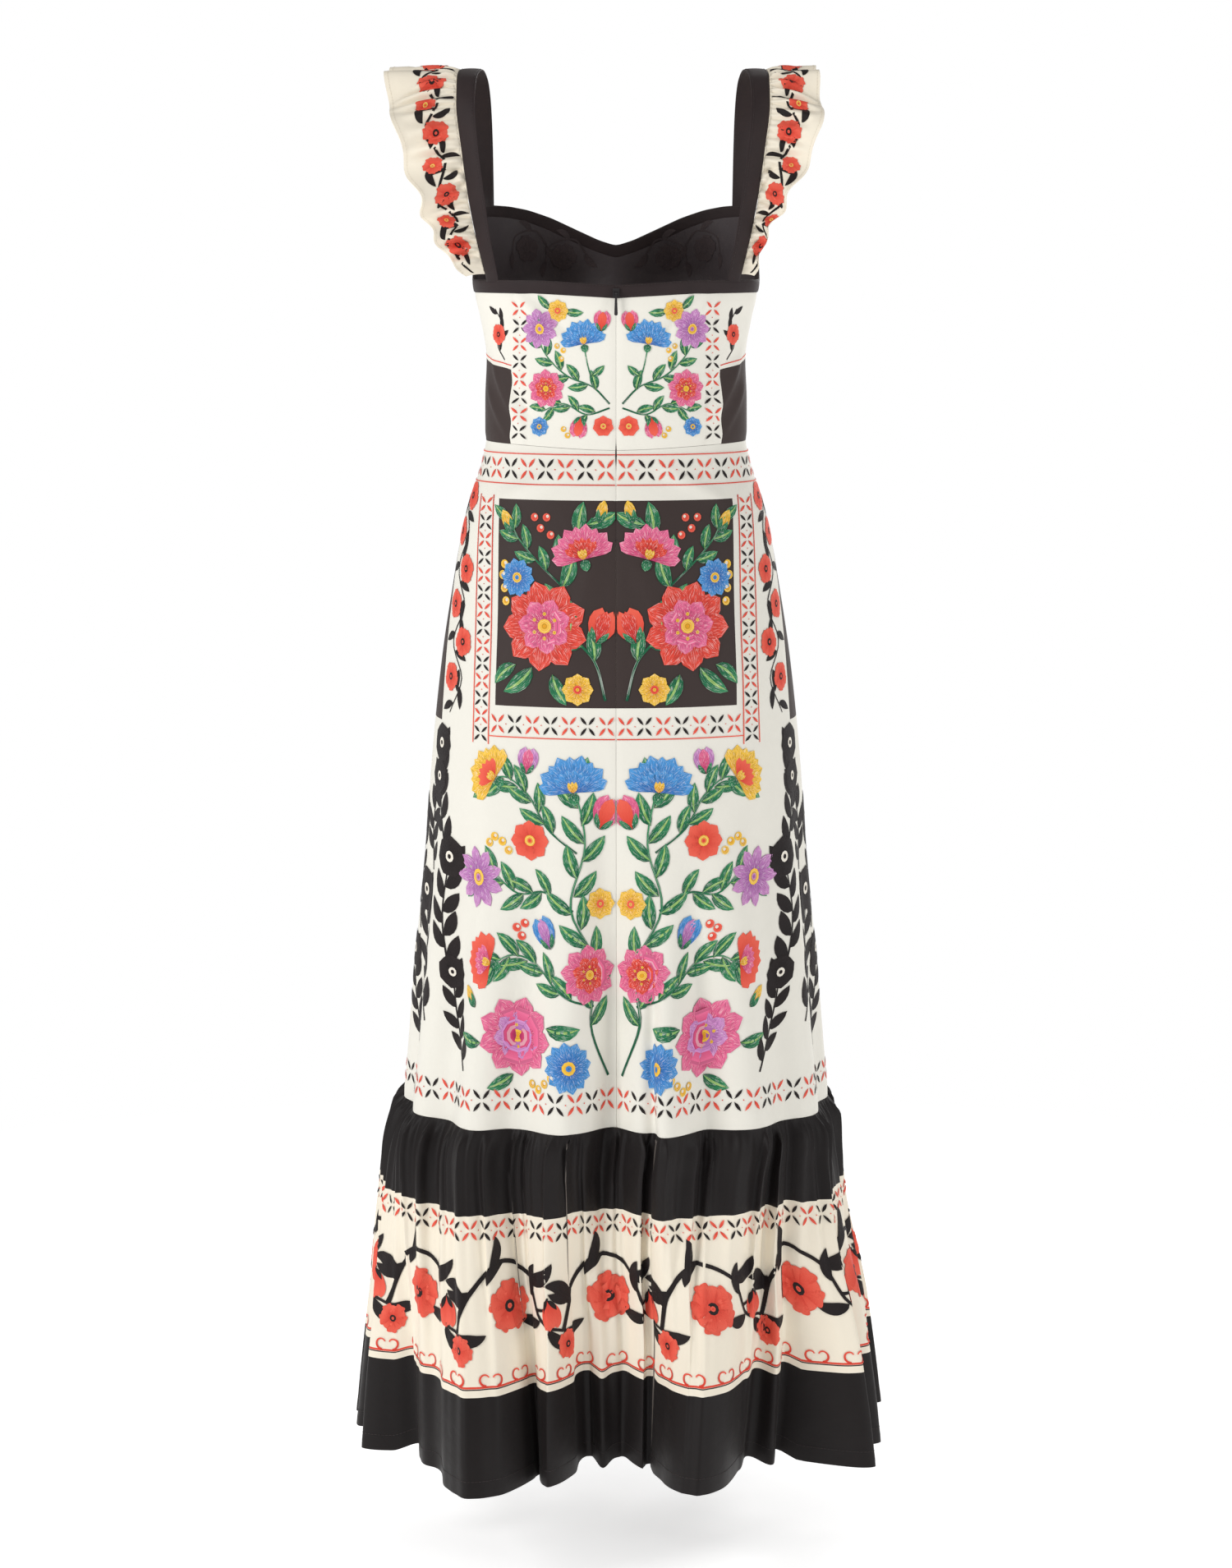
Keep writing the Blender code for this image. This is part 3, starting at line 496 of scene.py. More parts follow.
def shell(name, outer, inner, cut, outside, inside):
    """Closed thin cloth from two grids of points, with its flat cut as a UV map."""
    rows, columns = outer.shape[:2]
    i = np.arange(rows * columns).reshape(rows, columns)
    s = rows * columns
    face = quads(i[:-1, :-1], i[1:, :-1], i[1:, 1:], i[:-1, 1:])
    back = quads(i[:-1, :-1], i[:-1, 1:], i[1:, 1:], i[1:, :-1]) + s
    top = quads(i[0, :-1], i[0, 1:], i[0, 1:] + s, i[0, :-1] + s)
    foot = quads(i[-1, :-1], i[-1, :-1] + s, i[-1, 1:] + s, i[-1, 1:])
    left = quads(i[:-1, 0], i[:-1, 0] + s, i[1:, 0] + s, i[1:, 0])
    right = quads(i[:-1, -1], i[1:, -1], i[1:, -1] + s, i[:-1, -1] + s)
    faces = np.concatenate((face, top, foot, left, right, back))
    slots = np.zeros(len(faces), int)
    slots[-len(back):] = 1
    points = np.concatenate((outer.reshape(-1, 3), inner.reshape(-1, 3)))
    mesh = new_mesh(name, points, faces.tolist(), (outside, inside), slots)
    add_cut(mesh, "cut", np.concatenate((cut.reshape(-1, 2), cut.reshape(-1, 2))))
    face_outwards(mesh)
    mesh.set_sharp_from_angle(angle=math.radians(60.0))
    return show(name, mesh)


def wear(piece, slot, *nodes):
    """The piece moves with the dress and stands for its solids."""
    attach(piece, "dress")
    if nodes:
        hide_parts(*nodes)
    return piece


def body_shell(name, turn, z, cloth, outside, inside, lift=0.0, thick=CLOTH):
    """Cloth on the body form from grids of angle and height."""
    points, normals = on_body(turn, z)
    cut = np.stack((cloth.across_at(turn, z), z), axis=-1)
    outer = points + normals * np.asarray(lift)[..., None]
    return shell(name, outer, outer - normals * thick, cut, outside, inside)


def seam_turn(z):
    """Half a seam gap as an angle at this height."""
    return float(np.degrees(0.5 * SEAM_GAP / curve_value(BODY_SECTIONS, z, 1)))


def waist_z(turn):
    back = np.maximum(0.0, np.cos(np.radians(turn)))
    return WAIST_SIDE_Z - WAIST_BACK_DIP * back * back


def back_z(turn):
    """Height of the top edge of the back at each angle from the centre."""
    turn = np.abs(turn)
    return np.where(turn < 86.0, curve_value(BACK_EDGE, turn, 1), curve_value(ARMHOLE_EDGE, turn, 1))


def rows_between(top, foot, count):
    share = np.linspace(0.0, 1.0, count)[:, None]
    return top[None, :] * (1.0 - share) + foot[None, :] * share


def gaping(turn, z):
    """Turns moved aside where the zip seam opens a little at the waist."""
    reach = math.degrees(GAPE / 0.088) * np.exp(-((z - GAPE_Z) / 0.009) ** 2)
    return turn + np.sign(turn) * reach * np.exp(-np.abs(turn) / 1.6)


def seam_pucker(share, beside):
    """Cloth drawn in slightly where it is sewn, at its top, its foot and beside a seam."""
    near_top = np.exp(-((share / 0.035) ** 2))
    near_foot = np.exp(-(((1.0 - share) / 0.035) ** 2))
    return -0.001 * (near_top + near_foot + beside)


gap = seam_turn(-0.2)
BODICE_COLUMNS, BODICE_ROWS = 66, 46
for side, sign in (("right", 1.0), ("left", -1.0)):
    turns = np.sort(np.linspace(gap, 90.0 - gap, BODICE_COLUMNS) * sign)
    z = rows_between(back_z(turns) - BAND_HEIGHT - SEAM_GAP, waist_z(turns), BODICE_ROWS)
    turn = gaping(np.broadcast_to(turns, z.shape), z)
    share = np.linspace(0.0, 1.0, BODICE_ROWS)[:, None]
    zip_side = np.exp(-((np.abs(turn) - gap) / 1.6) ** 2)
    dart = np.exp(-((np.abs(turn) - 53.0) / 0.9) ** 2)
    puckers = seam_pucker(share, zip_side + dart * 0.9)
    panel = body_shell("cloth_back_bodice_" + side, turn, z, back_cloth, bodice_sateen, wrong_side, puckers)
    wear(panel, "printed_cotton", "back_bodice_" + side)


class Print:
    """Flat printed shapes, each a small grid of places across and up on the cut."""

    def __init__(self, fine=1, both=False):
        self.shapes, self.fine, self.both = [], fine, both

    def draw(self, rows):
        """Shapes from rows of a kind and its values."""
        for kind, *values in rows:
            getattr(self, kind)(*values)
        return self

    def add(self, grid, ink, layer=0):
        self.shapes.append((grid, ink, layer))
        if self.both:
            self.shapes.append((grid * np.array((-1.0, 1.0)), ink, layer))

    def petal(self, x, y, turn, length, width, ink, bend=0.0, full=1.5, blunt=0.6, layer=0, rows=6, columns=4):
        """Petal or leaf from its foot, turned clockwise from straight up."""
        rows, columns = rows * self.fine, columns * self.fine
        share = np.linspace(0.0, 1.0, rows + 1)
        heading = np.radians(turn + bend * share)
        middle = (heading[1:] + heading[:-1]) / 2
        step = length / rows
        path_x = x + np.concatenate(([0.0], np.cumsum(np.sin(middle)))) * step
        path_y = y + np.concatenate(([0.0], np.cumsum(np.cos(middle)))) * step
        half = 0.5 * width * np.sin(np.pi * np.clip(share, 0.0, 1.0) ** full) ** blunt
        half[-1] = 0.0
        side = np.linspace(-1.0, 1.0, columns + 1)
        gx = path_x[:, None] + np.cos(heading)[:, None] * half[:, None] * side
        gy = path_y[:, None] - np.sin(heading)[:, None] * half[:, None] * side
        self.add(np.stack((gx, gy), axis=-1), ink, layer)

    def pair(self, x, y, turn, spread, length, width, ink, bend, full, blunt, layer):
        for side in (-1.0, 1.0):
            self.petal(x, y, turn + spread * side, length, width, ink, -bend * side, full, blunt, layer)

    def disc(self, x, y, radius, ink, layer=1, sides=10):
        turn = np.linspace(0.0, 2.0 * math.pi, sides + 1)
        ring = np.array((0.0, 0.55, 1.0))[:, None] * radius
        self.add(np.stack((x + ring * np.sin(turn), y + ring * np.cos(turn)), axis=-1), ink, layer)

    def stem(self, points, width, ink, steps=6):
        """Stem through a few places, on a smooth curve, thinner at its tip."""
        p = np.array(points, float)
        p = np.concatenate(([2 * p[0] - p[1]], p, [2 * p[-1] - p[-2]]))
        t = np.linspace(0.0, 1.0, steps, endpoint=False)[:, None]
        parts = []
        for a, b, c, d in zip(p, p[1:], p[2:], p[3:]):
            turn, ease = 2 * a - 5 * b + 4 * c - d, 3 * b - a - 3 * c + d
            parts.append(0.5 * (2 * b + (c - a) * t + turn * t**2 + ease * t**3))
        line = np.concatenate(parts + [p[-2][None, :]])
        along = unit(np.gradient(line, axis=0))
        aside = np.stack((along[:, 1], -along[:, 0]), axis=1)
        half = 0.5 * width * np.linspace(1.0, 0.55, len(line))[:, None]
        self.add(np.stack((line - aside * half, line, line + aside * half), axis=1), ink)

    def hook(self, x, y, flip, size, width, ink):
        """Scroll that rises from its foot, turns outwards and curls in."""
        turns = np.linspace(0.0, 1.35 * math.pi, 9)
        reach = 0.5 * size * (1.0 - 0.45 * turns / turns[-1])
        across = x + flip * (0.5 * size + reach * np.sin(turns))
        self.stem(np.stack((across, y + 0.5 * size - reach * np.cos(turns)), axis=1), width, ink, 2)

    def daisy(self, x, y, radius, ink, heart, petals=9, turn=0.0, width=0.62):
        """Round flower of narrow petals round a stitched heart."""
        across = 2.0 * math.pi * radius / petals * width * 1.5
        for k in range(petals):
            self.petal(x, y, turn + 360.0 * k / petals, radius, across, ink, 0.0, 1.55, 0.74, 2)
        if width > 0.55:
            self.disc(x, y, radius * 0.62, ink, 1)
        self.disc(x, y, radius * 0.27, heart, 4)
        self.disc(x, y, radius * 0.12, ink, 5, 8)

    def rosette(self, x, y, radius, ink, inner, heart, turn=0.0):
        """Full flower of two rings of broad petals."""
        self.disc(x, y, radius * 0.74, ink, 1)
        for k in range(9):
            self.petal(x, y, turn + 40.0 * k, radius, radius * 0.6, ink, 6.0, 1.6, 0.76, 2)
        self.disc(x, y, radius * 0.42, inner, 3)
        for k in range(7):
            way = turn + 25.0 + 360.0 * k / 7
            self.petal(x, y, way, radius * 0.62, radius * 0.42, inner, -6.0, 1.6, 0.74, 3)
        self.disc(x, y, radius * 0.16, heart, 5)
        for k in range(6):
            a, out = math.radians(60.0 * k), radius * 0.27
            self.disc(x + out * math.sin(a), y + out * math.cos(a), radius * 0.045, heart, 5, 6)

    def tulip(self, x, y, turn, size, ink, inner, leaf="green"):
        """Cup of three petals seen from the side, on two small leaves."""
        self.pair(x, y, turn, 24.0, size, size * 0.5, ink, 30.0, 1.3, 0.6, 2)
        self.petal(x, y, turn, size * 0.92, size * 0.42, inner, 0.0, 1.5, 0.6, 3)
        self.pair(x, y, turn, 46.0, size * 0.48, size * 0.16, leaf, 26.0, 1.0, 0.8, 4)

    def leaf(self, x, y, turn, length, width, bend=0.0, layer=2, ink="green"):
        """Leaf in two tones with a pale midrib."""
        self.petal(x, y, turn, length, width, ink, bend, 0.9, 0.8, layer)
        if ink == "green":
            self.petal(x, y, turn, length * 0.94, width * 0.17, "lime", bend, 0.8, 0.5, layer + 1, 5, 2)

    def carnation(self, x, y, turn, size, ink, inner):
        """Fan of narrow petals seen from the side, on a green cup, with yellow tips."""
        for k in range(9):
            length = size * (0.94 + 0.06 * (k % 2))
            self.petal(x, y, turn + (-76.0 + 19.0 * k), length, size * 0.36, ink, 0.0, 2.4, 0.5, 2)
        for k in range(6):
            self.petal(x, y, turn + (-50.0 + 20.0 * k), size * 0.62, size * 0.2, inner, 0.0, 2.2, 0.5, 3)
        self.petal(x, y, turn + 180.0, size * 0.34, size * 0.3, "green", 0.0, 0.8, 0.6, 4)
        self.pair(x, y, turn, 30.0, size * 0.3, size * 0.13, "yellow", 20.0, 1.0, 0.7, 4)
        self.petal(x, y, turn, size * 0.3, size * 0.13, "yellow", 0.0, 1.0, 0.7, 5)

    def bud(self, x, y, turn, size, ink):
        """Small closed flower in its green cup."""
        self.petal(x, y, turn, size, size * 0.48, ink, 0.0, 1.1, 0.7, 1)
        self.pair(x, y, turn, 28.0, size * 0.6, size * 0.22, "green", 24.0, 1.0, 0.8, 2)

    def berries(self, points, radius, ink="yellow"):
        for x, y in points:
            self.disc(x, y, radius, ink, 1)
            self.disc(x - radius * 0.25, y + radius * 0.25, radius * 0.4, "cream", 2, 6)

    def leaves(self, points, ink, size, width, count, spread=42.0, start=0.2):
        """Leaves on both sides of a path given by its places."""
        p = np.array(points, float)
        for k in range(count):
            s = (start + (1.0 - start) * k / max(1, count - 0.4)) * (len(p) - 1)
            i = min(int(s), len(p) - 2)
            x, y = p[i] + (p[i + 1] - p[i]) * (s - i)
            way = math.degrees(math.atan2(*(p[i + 1] - p[i])))
            side = 1.0 if k % 2 else -1.0
            self.leaf(x, y, way + spread * side, size, size * width, -24.0 * side, 0, ink)

    def branch(self, points, thick, ink, size, width, count, spread=42.0, start=0.2):
        self.stem(points, thick, ink)
        self.leaves(points, ink, size, width, count, spread, start)

    def fronds(self, x, rows, width):
        """Black leaves beside x, from rows of offset, height, turn, length and bend."""
        for aside, y, turn, length, bend in rows:
            self.petal(x + aside, y, turn, length, length * width, "black", bend, 0.9, 0.8, 1)

    def crosses(self, start, end, size, inks=("coral", "black")):
        """Row of small leaf crosses in alternating inks."""
        a, b = np.array(start, float), np.array(end, float)
        count = max(1, int(round(np.linalg.norm(b - a) / (size * 0.93))))
        way = math.degrees(math.atan2(*(b - a)))
        for k in range(count):
            x, y = a + (b - a) * (k + 0.5) / count
            for turn in (52.0, 128.0, 232.0, 308.0):
                heading = math.radians(way + turn)
                foot = x + size * 0.08 * math.sin(heading), y + size * 0.08 * math.cos(heading)
                self.petal(*foot, way + turn, size * 0.55, size * 0.15, inks[k % 2], 0.0, 1.0, 0.8, 0, 3, 2)
            if k + 1 < count:
                self.disc(*(a + (b - a) * (k + 1.0) / count), size * 0.035, inks[0], 0, 5)

    def line(self, start, end, width=0.001, ink="coral"):
        a, b = np.array(start, float), np.array(end, float)
        length = np.linalg.norm(b - a)
        path = a + (b - a) * np.linspace(0.0, 1.0, max(2, int(length / 0.006)) + 1)[:, None]
        way = (b - a) / length
        aside = np.array((way[1], -way[0])) * width / 2
        self.add(np.stack((path - aside, path + aside), axis=1), ink)


INKS = {
    "red": ((186, 30, 40), (238, 84, 66)),
    "coral": ((214, 58, 44), (240, 104, 84)),
    "rose": ((190, 26, 92), (240, 120, 160)),
    "lilac": ((146, 70, 150), (214, 150, 206)),
    "blue": ((24, 84, 170), (84, 160, 222)),
    "green": ((14, 84, 58), (58, 146, 96)),
    "lime": ((120, 176, 96), (176, 206, 120)),
    "yellow": ((222, 150, 24), (250, 206, 78)),
    "black": ((28, 22, 22), (38, 31, 31)),
    "shade": ((60, 51, 52), (68, 58, 59)),
    "cream": ((228, 220, 204), (240, 234, 222)),
}


PLAIN_INKS = ("black", "coral", "cream", "shade")


def printed_ink(name, deep, light, shade=0.6, glint=0.32):
    """Printed ink shaded like long and short stitches, darker at a shape's foot."""
    finish = Finish("ink_" + name)
    _, up, vector = finish.cut("stitch")
    strand = finish.noise(finish.stretched(vector, (1500.0, 5.0, 1.0)), 1.0, 2.0)
    colour = finish.blend(up + 0.7 * strand - 0.35, srgb(*deep), srgb(*light))
    colour = finish.blend((strand > 0.55) * shade, colour, (0.46, 0.42, 0.46, 1.0), "MULTIPLY")
    colour = finish.blend((strand < 0.41) * glint, colour, (1.0, 0.96, 0.92, 1.0))
    sheen = (0.04, 0.4, (1.0, 1.0, 1.0, 1.0))
    return finish.surface(colour, 0.56 + 0.1 * strand, ((strand, 0.00045),), sheen, specular=0.2)


inks = {
    name: printed_ink(name, *tones, *((0.06, 0.0) if name in PLAIN_INKS else ()))
    for name, tones in INKS.items()
}
INK_LIFT = 0.00034
INK_LAYER = 0.00008


def lay_print(name, design, place_on, low, high):
    """The design on the worn cloth, cut off at low and high across the cut."""
    kept = [s for s in design.shapes if s[0][..., 0].max() >= low and s[0][..., 0].min() <= high]
    order = sorted({ink for _, ink, _ in kept})
    flat, lifts, faces, stitch, slots = [], [], [], [], []
    total = 0
    for number, (grid, ink, layer) in enumerate(kept):
        rows, columns = grid.shape[:2]
        i = total + np.arange(rows * columns).reshape(rows, columns)
        inside = (grid[..., 0] >= low) & (grid[..., 0] <= high)
        some = inside[:-1, :-1] | inside[:-1, 1:] | inside[1:, 1:] | inside[1:, :-1]
        kept_quads = quads(i[:-1, :-1], i[:-1, 1:], i[1:, 1:], i[1:, :-1])[some.ravel()]
        span = np.linalg.norm(grid[:, -1] - grid[:, 0], axis=1).max()
        u = np.broadcast_to(np.linspace(-0.5, 0.5, columns) * span + number * 0.11, i.shape)
        v = np.broadcast_to(np.linspace(0.0, 1.0, rows)[:, None], i.shape)
        flat.append(grid.reshape(-1, 2))
        lifts.append(np.full(i.size, INK_LIFT + INK_LAYER * layer))
        stitch.append(np.stack((u, v), axis=-1).reshape(-1, 2))
        faces.append(kept_quads)
        slots.append(np.full(len(kept_quads), order.index(ink)))
        total += i.size
    flat = np.concatenate(flat)
    points, normals = place_on(np.clip(flat[:, 0], low, high), flat[:, 1])
    points = points + normals * np.concatenate(lifts)[:, None]
    faces = np.concatenate(faces)
    first, second, third, fourth = (points[faces[:, k]] for k in range(4))
    facing = (np.cross(third - first, fourth - second) * normals[faces].mean(axis=1)).sum(axis=1)
    faces[facing < 0.0] = faces[facing < 0.0][:, ::-1]
    mesh = new_mesh(name, points, faces.tolist(), [inks[ink] for ink in order], np.concatenate(slots))
    add_cut(mesh, "stitch", np.concatenate(stitch))
    mesh.shade_smooth()
    mesh.normals_split_custom_set_from_vertices(normals.tolist())
    return show(name, mesh)


def laid_on(cloth):
    """Where the print lies that is on one cloth of the body."""
    return lambda across, up: on_body(cloth.turn_at(across, up), up)


place_on_back, place_on_front = laid_on(back_cloth), laid_on(front_cloth)

# Loose posy of folk flowers beside the centre, with a stitched border at the side
small_flowers = Print(both=True).draw((
    (
        "branch",
        ((0.006, -0.312), (0.022, -0.296), (0.046, -0.286), (0.066, -0.268), (0.078, -0.246)),
        0.0018, "green", 0.02, 0.42, 9,
    ),
    ("carnation", 0.03, -0.256, 10.0, 0.024, "blue", "blue"),
    ("stem", ((0.02, -0.296), (0.026, -0.278), (0.03, -0.258)), 0.0016, "green"),
    ("leaf", 0.023, -0.286, -60.0, 0.016, 0.007, 20.0),
    ("daisy", 0.074, -0.242, 0.019, "lilac", "yellow", 9, 10.0, 0.5),
    ("tulip", 0.014, -0.244, -6.0, 0.02, "rose", "coral"),
    ("daisy", 0.055, -0.225, 0.0105, "yellow", "coral", 8),
    ("leaf", 0.048, -0.225, -110.0, 0.018, 0.008, 30.0, 1),
    ("leaf", 0.062, -0.223, 60.0, 0.018, 0.008, -30.0, 1),
    ("branch", ((0.006, -0.316), (0.028, -0.322), (0.05, -0.312), (0.072, -0.32)), 0.0017, "green", 0.018, 0.42, 7),
    ("rosette", 0.067, -0.298, 0.0185, "rose", "red", "yellow"),
    ("tulip", 0.033, -0.324, 168.0, 0.021, "rose", "coral"),
    ("daisy", 0.012, -0.333, 0.01, "coral", "yellow", 7),
    ("daisy", 0.074, -0.334, 0.0095, "blue", "yellow", 8),
    ("berries", ((0.05, -0.262), (0.056, -0.258), (0.052, -0.27)), 0.0028),
    ("berries", ((0.042, -0.338), (0.05, -0.336), (0.046, -0.342)), 0.0028),
    ("crosses", (0.096, -0.215), (0.096, -0.348), 0.017),
    ("branch", ((0.116, -0.272), (0.126, -0.258), (0.117, -0.242), (0.127, -0.224)), 0.0016, "black", 0.014, 0.38, 6),
    ("daisy", 0.124, -0.248, 0.0095, "coral", "black", 5, 0.0, 0.9),
    ("line", (0.106, -0.277), (0.17, -0.267)),
))
bodice_edge = float(back_cloth.across_at(np.array(89.6), np.array(-0.25)))
for side, low, high in (("right", 0.0008, bodice_edge), ("left", -bodice_edge, -0.0008)):
    wear(lay_print("print_back_bodice_" + side, small_flowers, place_on_back, low, high), "printed_cotton")


# FRONT BODICE AND LINING
# A shaped front panel with a sweetheart top edge, of the same print, over a smooth black
# lining that shows through the neck from behind.

BAND_THICK = 0.002
FRONT_BAND_THICK = 0.0026
LINING = 0.001
NECK_EDGE = (
    (0.0, -0.166),
    (0.016, -0.161),
    (0.04, -0.15),
    (0.064, -0.139),
    (0.086, -0.1315),
    (0.104, -0.128),
    (0.119, -0.127),
)
FLAT_RADIUS = 0.125


def turn_at_distance(distance, z):
    """Angle in front of the body whose face is this far from the centre line."""
    turns = np.linspace(90.0, 180.0, 1801)
    return float(np.interp(-distance, -body_face(turns, np.full(1801, z))[:, 0], turns))


def laid_flat(line):
    return np.array([(math.radians(turn) * FLAT_RADIUS, z) for turn, z in line])


def spaced(line, count):
    """The same line of angle and height with evenly spaced points."""
    flat = laid_flat(line)
    lengths = np.concatenate(([0.0], np.cumsum(np.linalg.norm(np.diff(flat, axis=0), axis=1))))
    target = np.linspace(0.0, lengths[-1], count + 1)
    line = np.array(line)
    return [tuple(float(np.interp(t, lengths, column)) for column in line.T) for t in target]


def moved_down(line, distance):
    """Line shifted square to itself towards the hem, measured on the flat."""
    flat = laid_flat(line)
    shifted = []
    for k in range(len(flat)):
        along = flat[min(len(flat) - 1, k + 1)] - flat[max(0, k - 1)]
        along = along / np.linalg.norm(along)
        down = np.array((along[1], -along[0]))
        if down[1] > 0.0:
            down = -down
        place = flat[k] + down * distance
        shifted.append((math.degrees(place[0] / FLAT_RADIUS), place[1]))
    return shifted


def front_edge():
    """Front top edge, right side seam to centre front: armhole, then strap seat and neck."""
    arm = [(90.0 + seam_turn(-0.197), float(curve_value(ARMHOLE_EDGE, 90.0, 1)))]
    arm += [row for row in ARMHOLE_EDGE if row[0] > 91.0]
    neck = [(turn_at_distance(x, z), z) for x, z in reversed(NECK_EDGE)]
    return arm, [arm[-1]] + neck


def lowered_edge(arm, neck, distance):
    """Both parts of the front edge moved square to themselves, meeting at their corner."""
    low_arm = moved_down(arm, distance)
    low_neck = moved_down(neck, distance)
    low_arm[0] = (arm[0][0], arm[0][1] - distance)
    low_neck[-1] = (180.0, neck[-1][1] - distance * 1.08)
    (a, za), (b, zb) = low_arm[-2:]
    level = low_neck[0][1]
    corner = (b + (level - zb) * (b - a) / (zb - za), level)
    low_arm = [row for row in low_arm if row[1] < level - 0.002] + [corner]
    low_neck = [corner] + [row for row in low_neck if row[0] > corner[0] + 0.5]
    return low_arm, low_neck


def front_line(arm, neck, arm_steps=18, neck_steps=44):
    """Places along the front edge from the right side seam round to the left one."""
    half = spaced(arm, arm_steps) + spaced(neck, neck_steps)[1:]
    return np.array(half + [(360.0 - turn, z) for turn, z in reversed(half)][1:])


def eased(line, passes=2):
    """A line with its small corners eased, its ends and centre kept."""
    line = line.copy()
    for _ in range(passes):
        line[1:-1] = 0.25 * line[:-2] + 0.5 * line[1:-1] + 0.25 * line[2:]
    return line


arm, neck = front_edge()
front_top = eased(front_line(arm, neck))
front_foot = eased(front_line(*lowered_edge(arm, neck, BAND_HEIGHT)))
front_below = eased(front_line(*lowered_edge(arm, neck, BAND_HEIGHT + SEAM_GAP)))
first_turn = 90.0 + seam_turn(WAIST_SIDE_Z)
count = len(front_top)
front_waist = np.stack((np.linspace(first_turn, 360.0 - first_turn, count), np.full(count, WAIST_SIDE_Z)), axis=1)

lining_finish = Finish("black_lining")
grain = lining_finish.noise(lining_finish.cut()[2], 60.0, 4.0)
lining_black = lining_finish.surface(
    lining_finish.blend(grain * 0.5, srgb(57, 49, 51), srgb(71, 62, 64)),
    0.52 + 0.14 * grain,
    ((grain, 0.0008),),
    (0.08, 0.4, (0.9, 0.85, 0.85, 1.0)),
)


def between(first, second, share):
    """Angles and heights on the way from one line of places to another."""
    rows = first[None] * (1 - share[..., None]) + second[None] * share[..., None]
    return rows[..., 0], rows[..., 1]


share = np.linspace(0.0, 1.0, 52)[:, None]
turn, z = between(front_below, front_waist, share)
tucked = 0.0016 * np.maximum(0.0, 1.0 - share * 12.0)
puckers = seam_pucker(share, 0.0 * turn)
panel = body_shell("cloth_front_bodice", turn, z, front_cloth, bodice_sateen, wrong_side, puckers)
wear(panel, "printed_cotton", "front_bodice")
sunk, thick = -0.0013 - SEAM_GAP - 0.0003, LINING - 0.0003
black = (lining_black, lining_black)
panel = body_shell("cloth_front_lining", turn, z + tucked, front_cloth, *black, sunk, thick)
wear(panel, "black_lining", "front_lining")

faint = Print(both=True)
for x, y, way in ((0.052, -0.176, 10.0), (0.092, -0.168, -30.0)):
    faint.daisy(x, y, 0.012, "shade", "shade", 5, way, 0.98)
    curl = ((x - 0.022, y + 0.004), (x - 0.01, y + 0.017), (x + 0.012, y + 0.012), (x + 0.02, y - 0.006))
    faint.stem(curl, 0.002, "shade")
    for aside, up, way, length, width, bend in (
        (-0.022, 0.004, 190.0, 0.02, 0.007, 60.0),
        (-0.006, 0.016, 20.0, 0.018, 0.006, 70.0),
        (0.018, -0.004, 140.0, 0.018, 0.006, 50.0),
    ):
        faint.petal(x + aside, y + up, way, length, width, "shade", bend, 0.9, 0.8)


def place_in_lining(across, up):
    points, normals = place_on_front(across, up)
    return points - normals * (LINING + 0.0016), -normals


wear(lay_print("print_front_lining", faint, place_in_lining, -0.16, 0.16), "black_lining")
wear(lay_print("print_front_bodice", small_flowers, place_on_front, -bodice_edge, bodice_edge), "printed_cotton")


# NECK AND ARMHOLE BAND
# A folded strip of black cotton, stitched round the neckline and the armholes. Its edges
# are rolled, and it meets the zip at the centre back.

BAND_ROLL, BAND_SUNK = 0.0008, 0.0006
BAND_ROWS = 13
PITCH, STITCH, THREAD = 0.003, 0.0022, 0.00024

cotton = Finish("black_cotton")
floats, uneven = sateen_weave(cotton, cotton.cut()[2])
black_cotton = cotton.surface(
    cotton.blend(uneven, srgb(34, 25, 26), srgb(52, 42, 42)),
    0.58 + 0.14 * uneven,
    ((uneven, 0.0008), (floats, 0.00006)),
    (0.1, 0.4, (0.95, 0.9, 0.88, 1.0)),
    specular=0.2,
)


def rolled_lift(share, height):
    """How far a folded strip stands up across its width, from edge to edge."""
    return height * (1.0 - np.abs(2.0 * share - 1.0) ** 5)


def fine_grained(name, dark, light, scale, detail, share, rough, **constants):
    """Thread or metal with a fine grain; rough is its least value and its span."""
    finish = Finish(name)
    grain = finish.noise(finish.place(), scale, detail)
    colour = finish.blend(grain * share, srgb(*dark), srgb(*light))
    return finish.surface(colour, rough[0] + rough[1] * grain, **constants)


THREAD_GRAIN = (900.0, 2.0, 1.0, (0.5, 0.2))
black_thread = fine_grained("black_thread", (34, 28, 28), (66, 58, 57), *THREAD_GRAIN, specular=0.3)
cream_thread = fine_grained("cream_thread", (206, 196, 176), (240, 232, 216), *THREAD_GRAIN, specular=0.3)
ROW_SOCKETS = (
    ("Lines", "INPUT", "Geometry"),
    ("Pitch", "INPUT", "Float"),
    ("Length", "INPUT", "Float"),
    ("Thickness", "INPUT", "Float"),
    ("Seed", "INPUT", "Int"),
    ("Material", "INPUT", "Material"),
    ("Row", "OUTPUT", "Geometry"),
)
ROW_NODES = {
    "given": "NodeGroupInput",
    "result": "NodeGroupOutput",
    "curve": "GeometryNodeMeshToCurve",
    "steps": "GeometryNodeResampleCurve",
    "tangent": "GeometryNodeInputTangent",
    "align": "FunctionNodeAlignRotationToVector",
    "uneven": "FunctionNodeRandomValue",
    "place": "GeometryNodeInstanceOnPoints",
    "real": "GeometryNodeRealizeInstances",
    "coat": "GeometryNodeSetMaterial",
    "size": "ShaderNodeCombineXYZ",
}
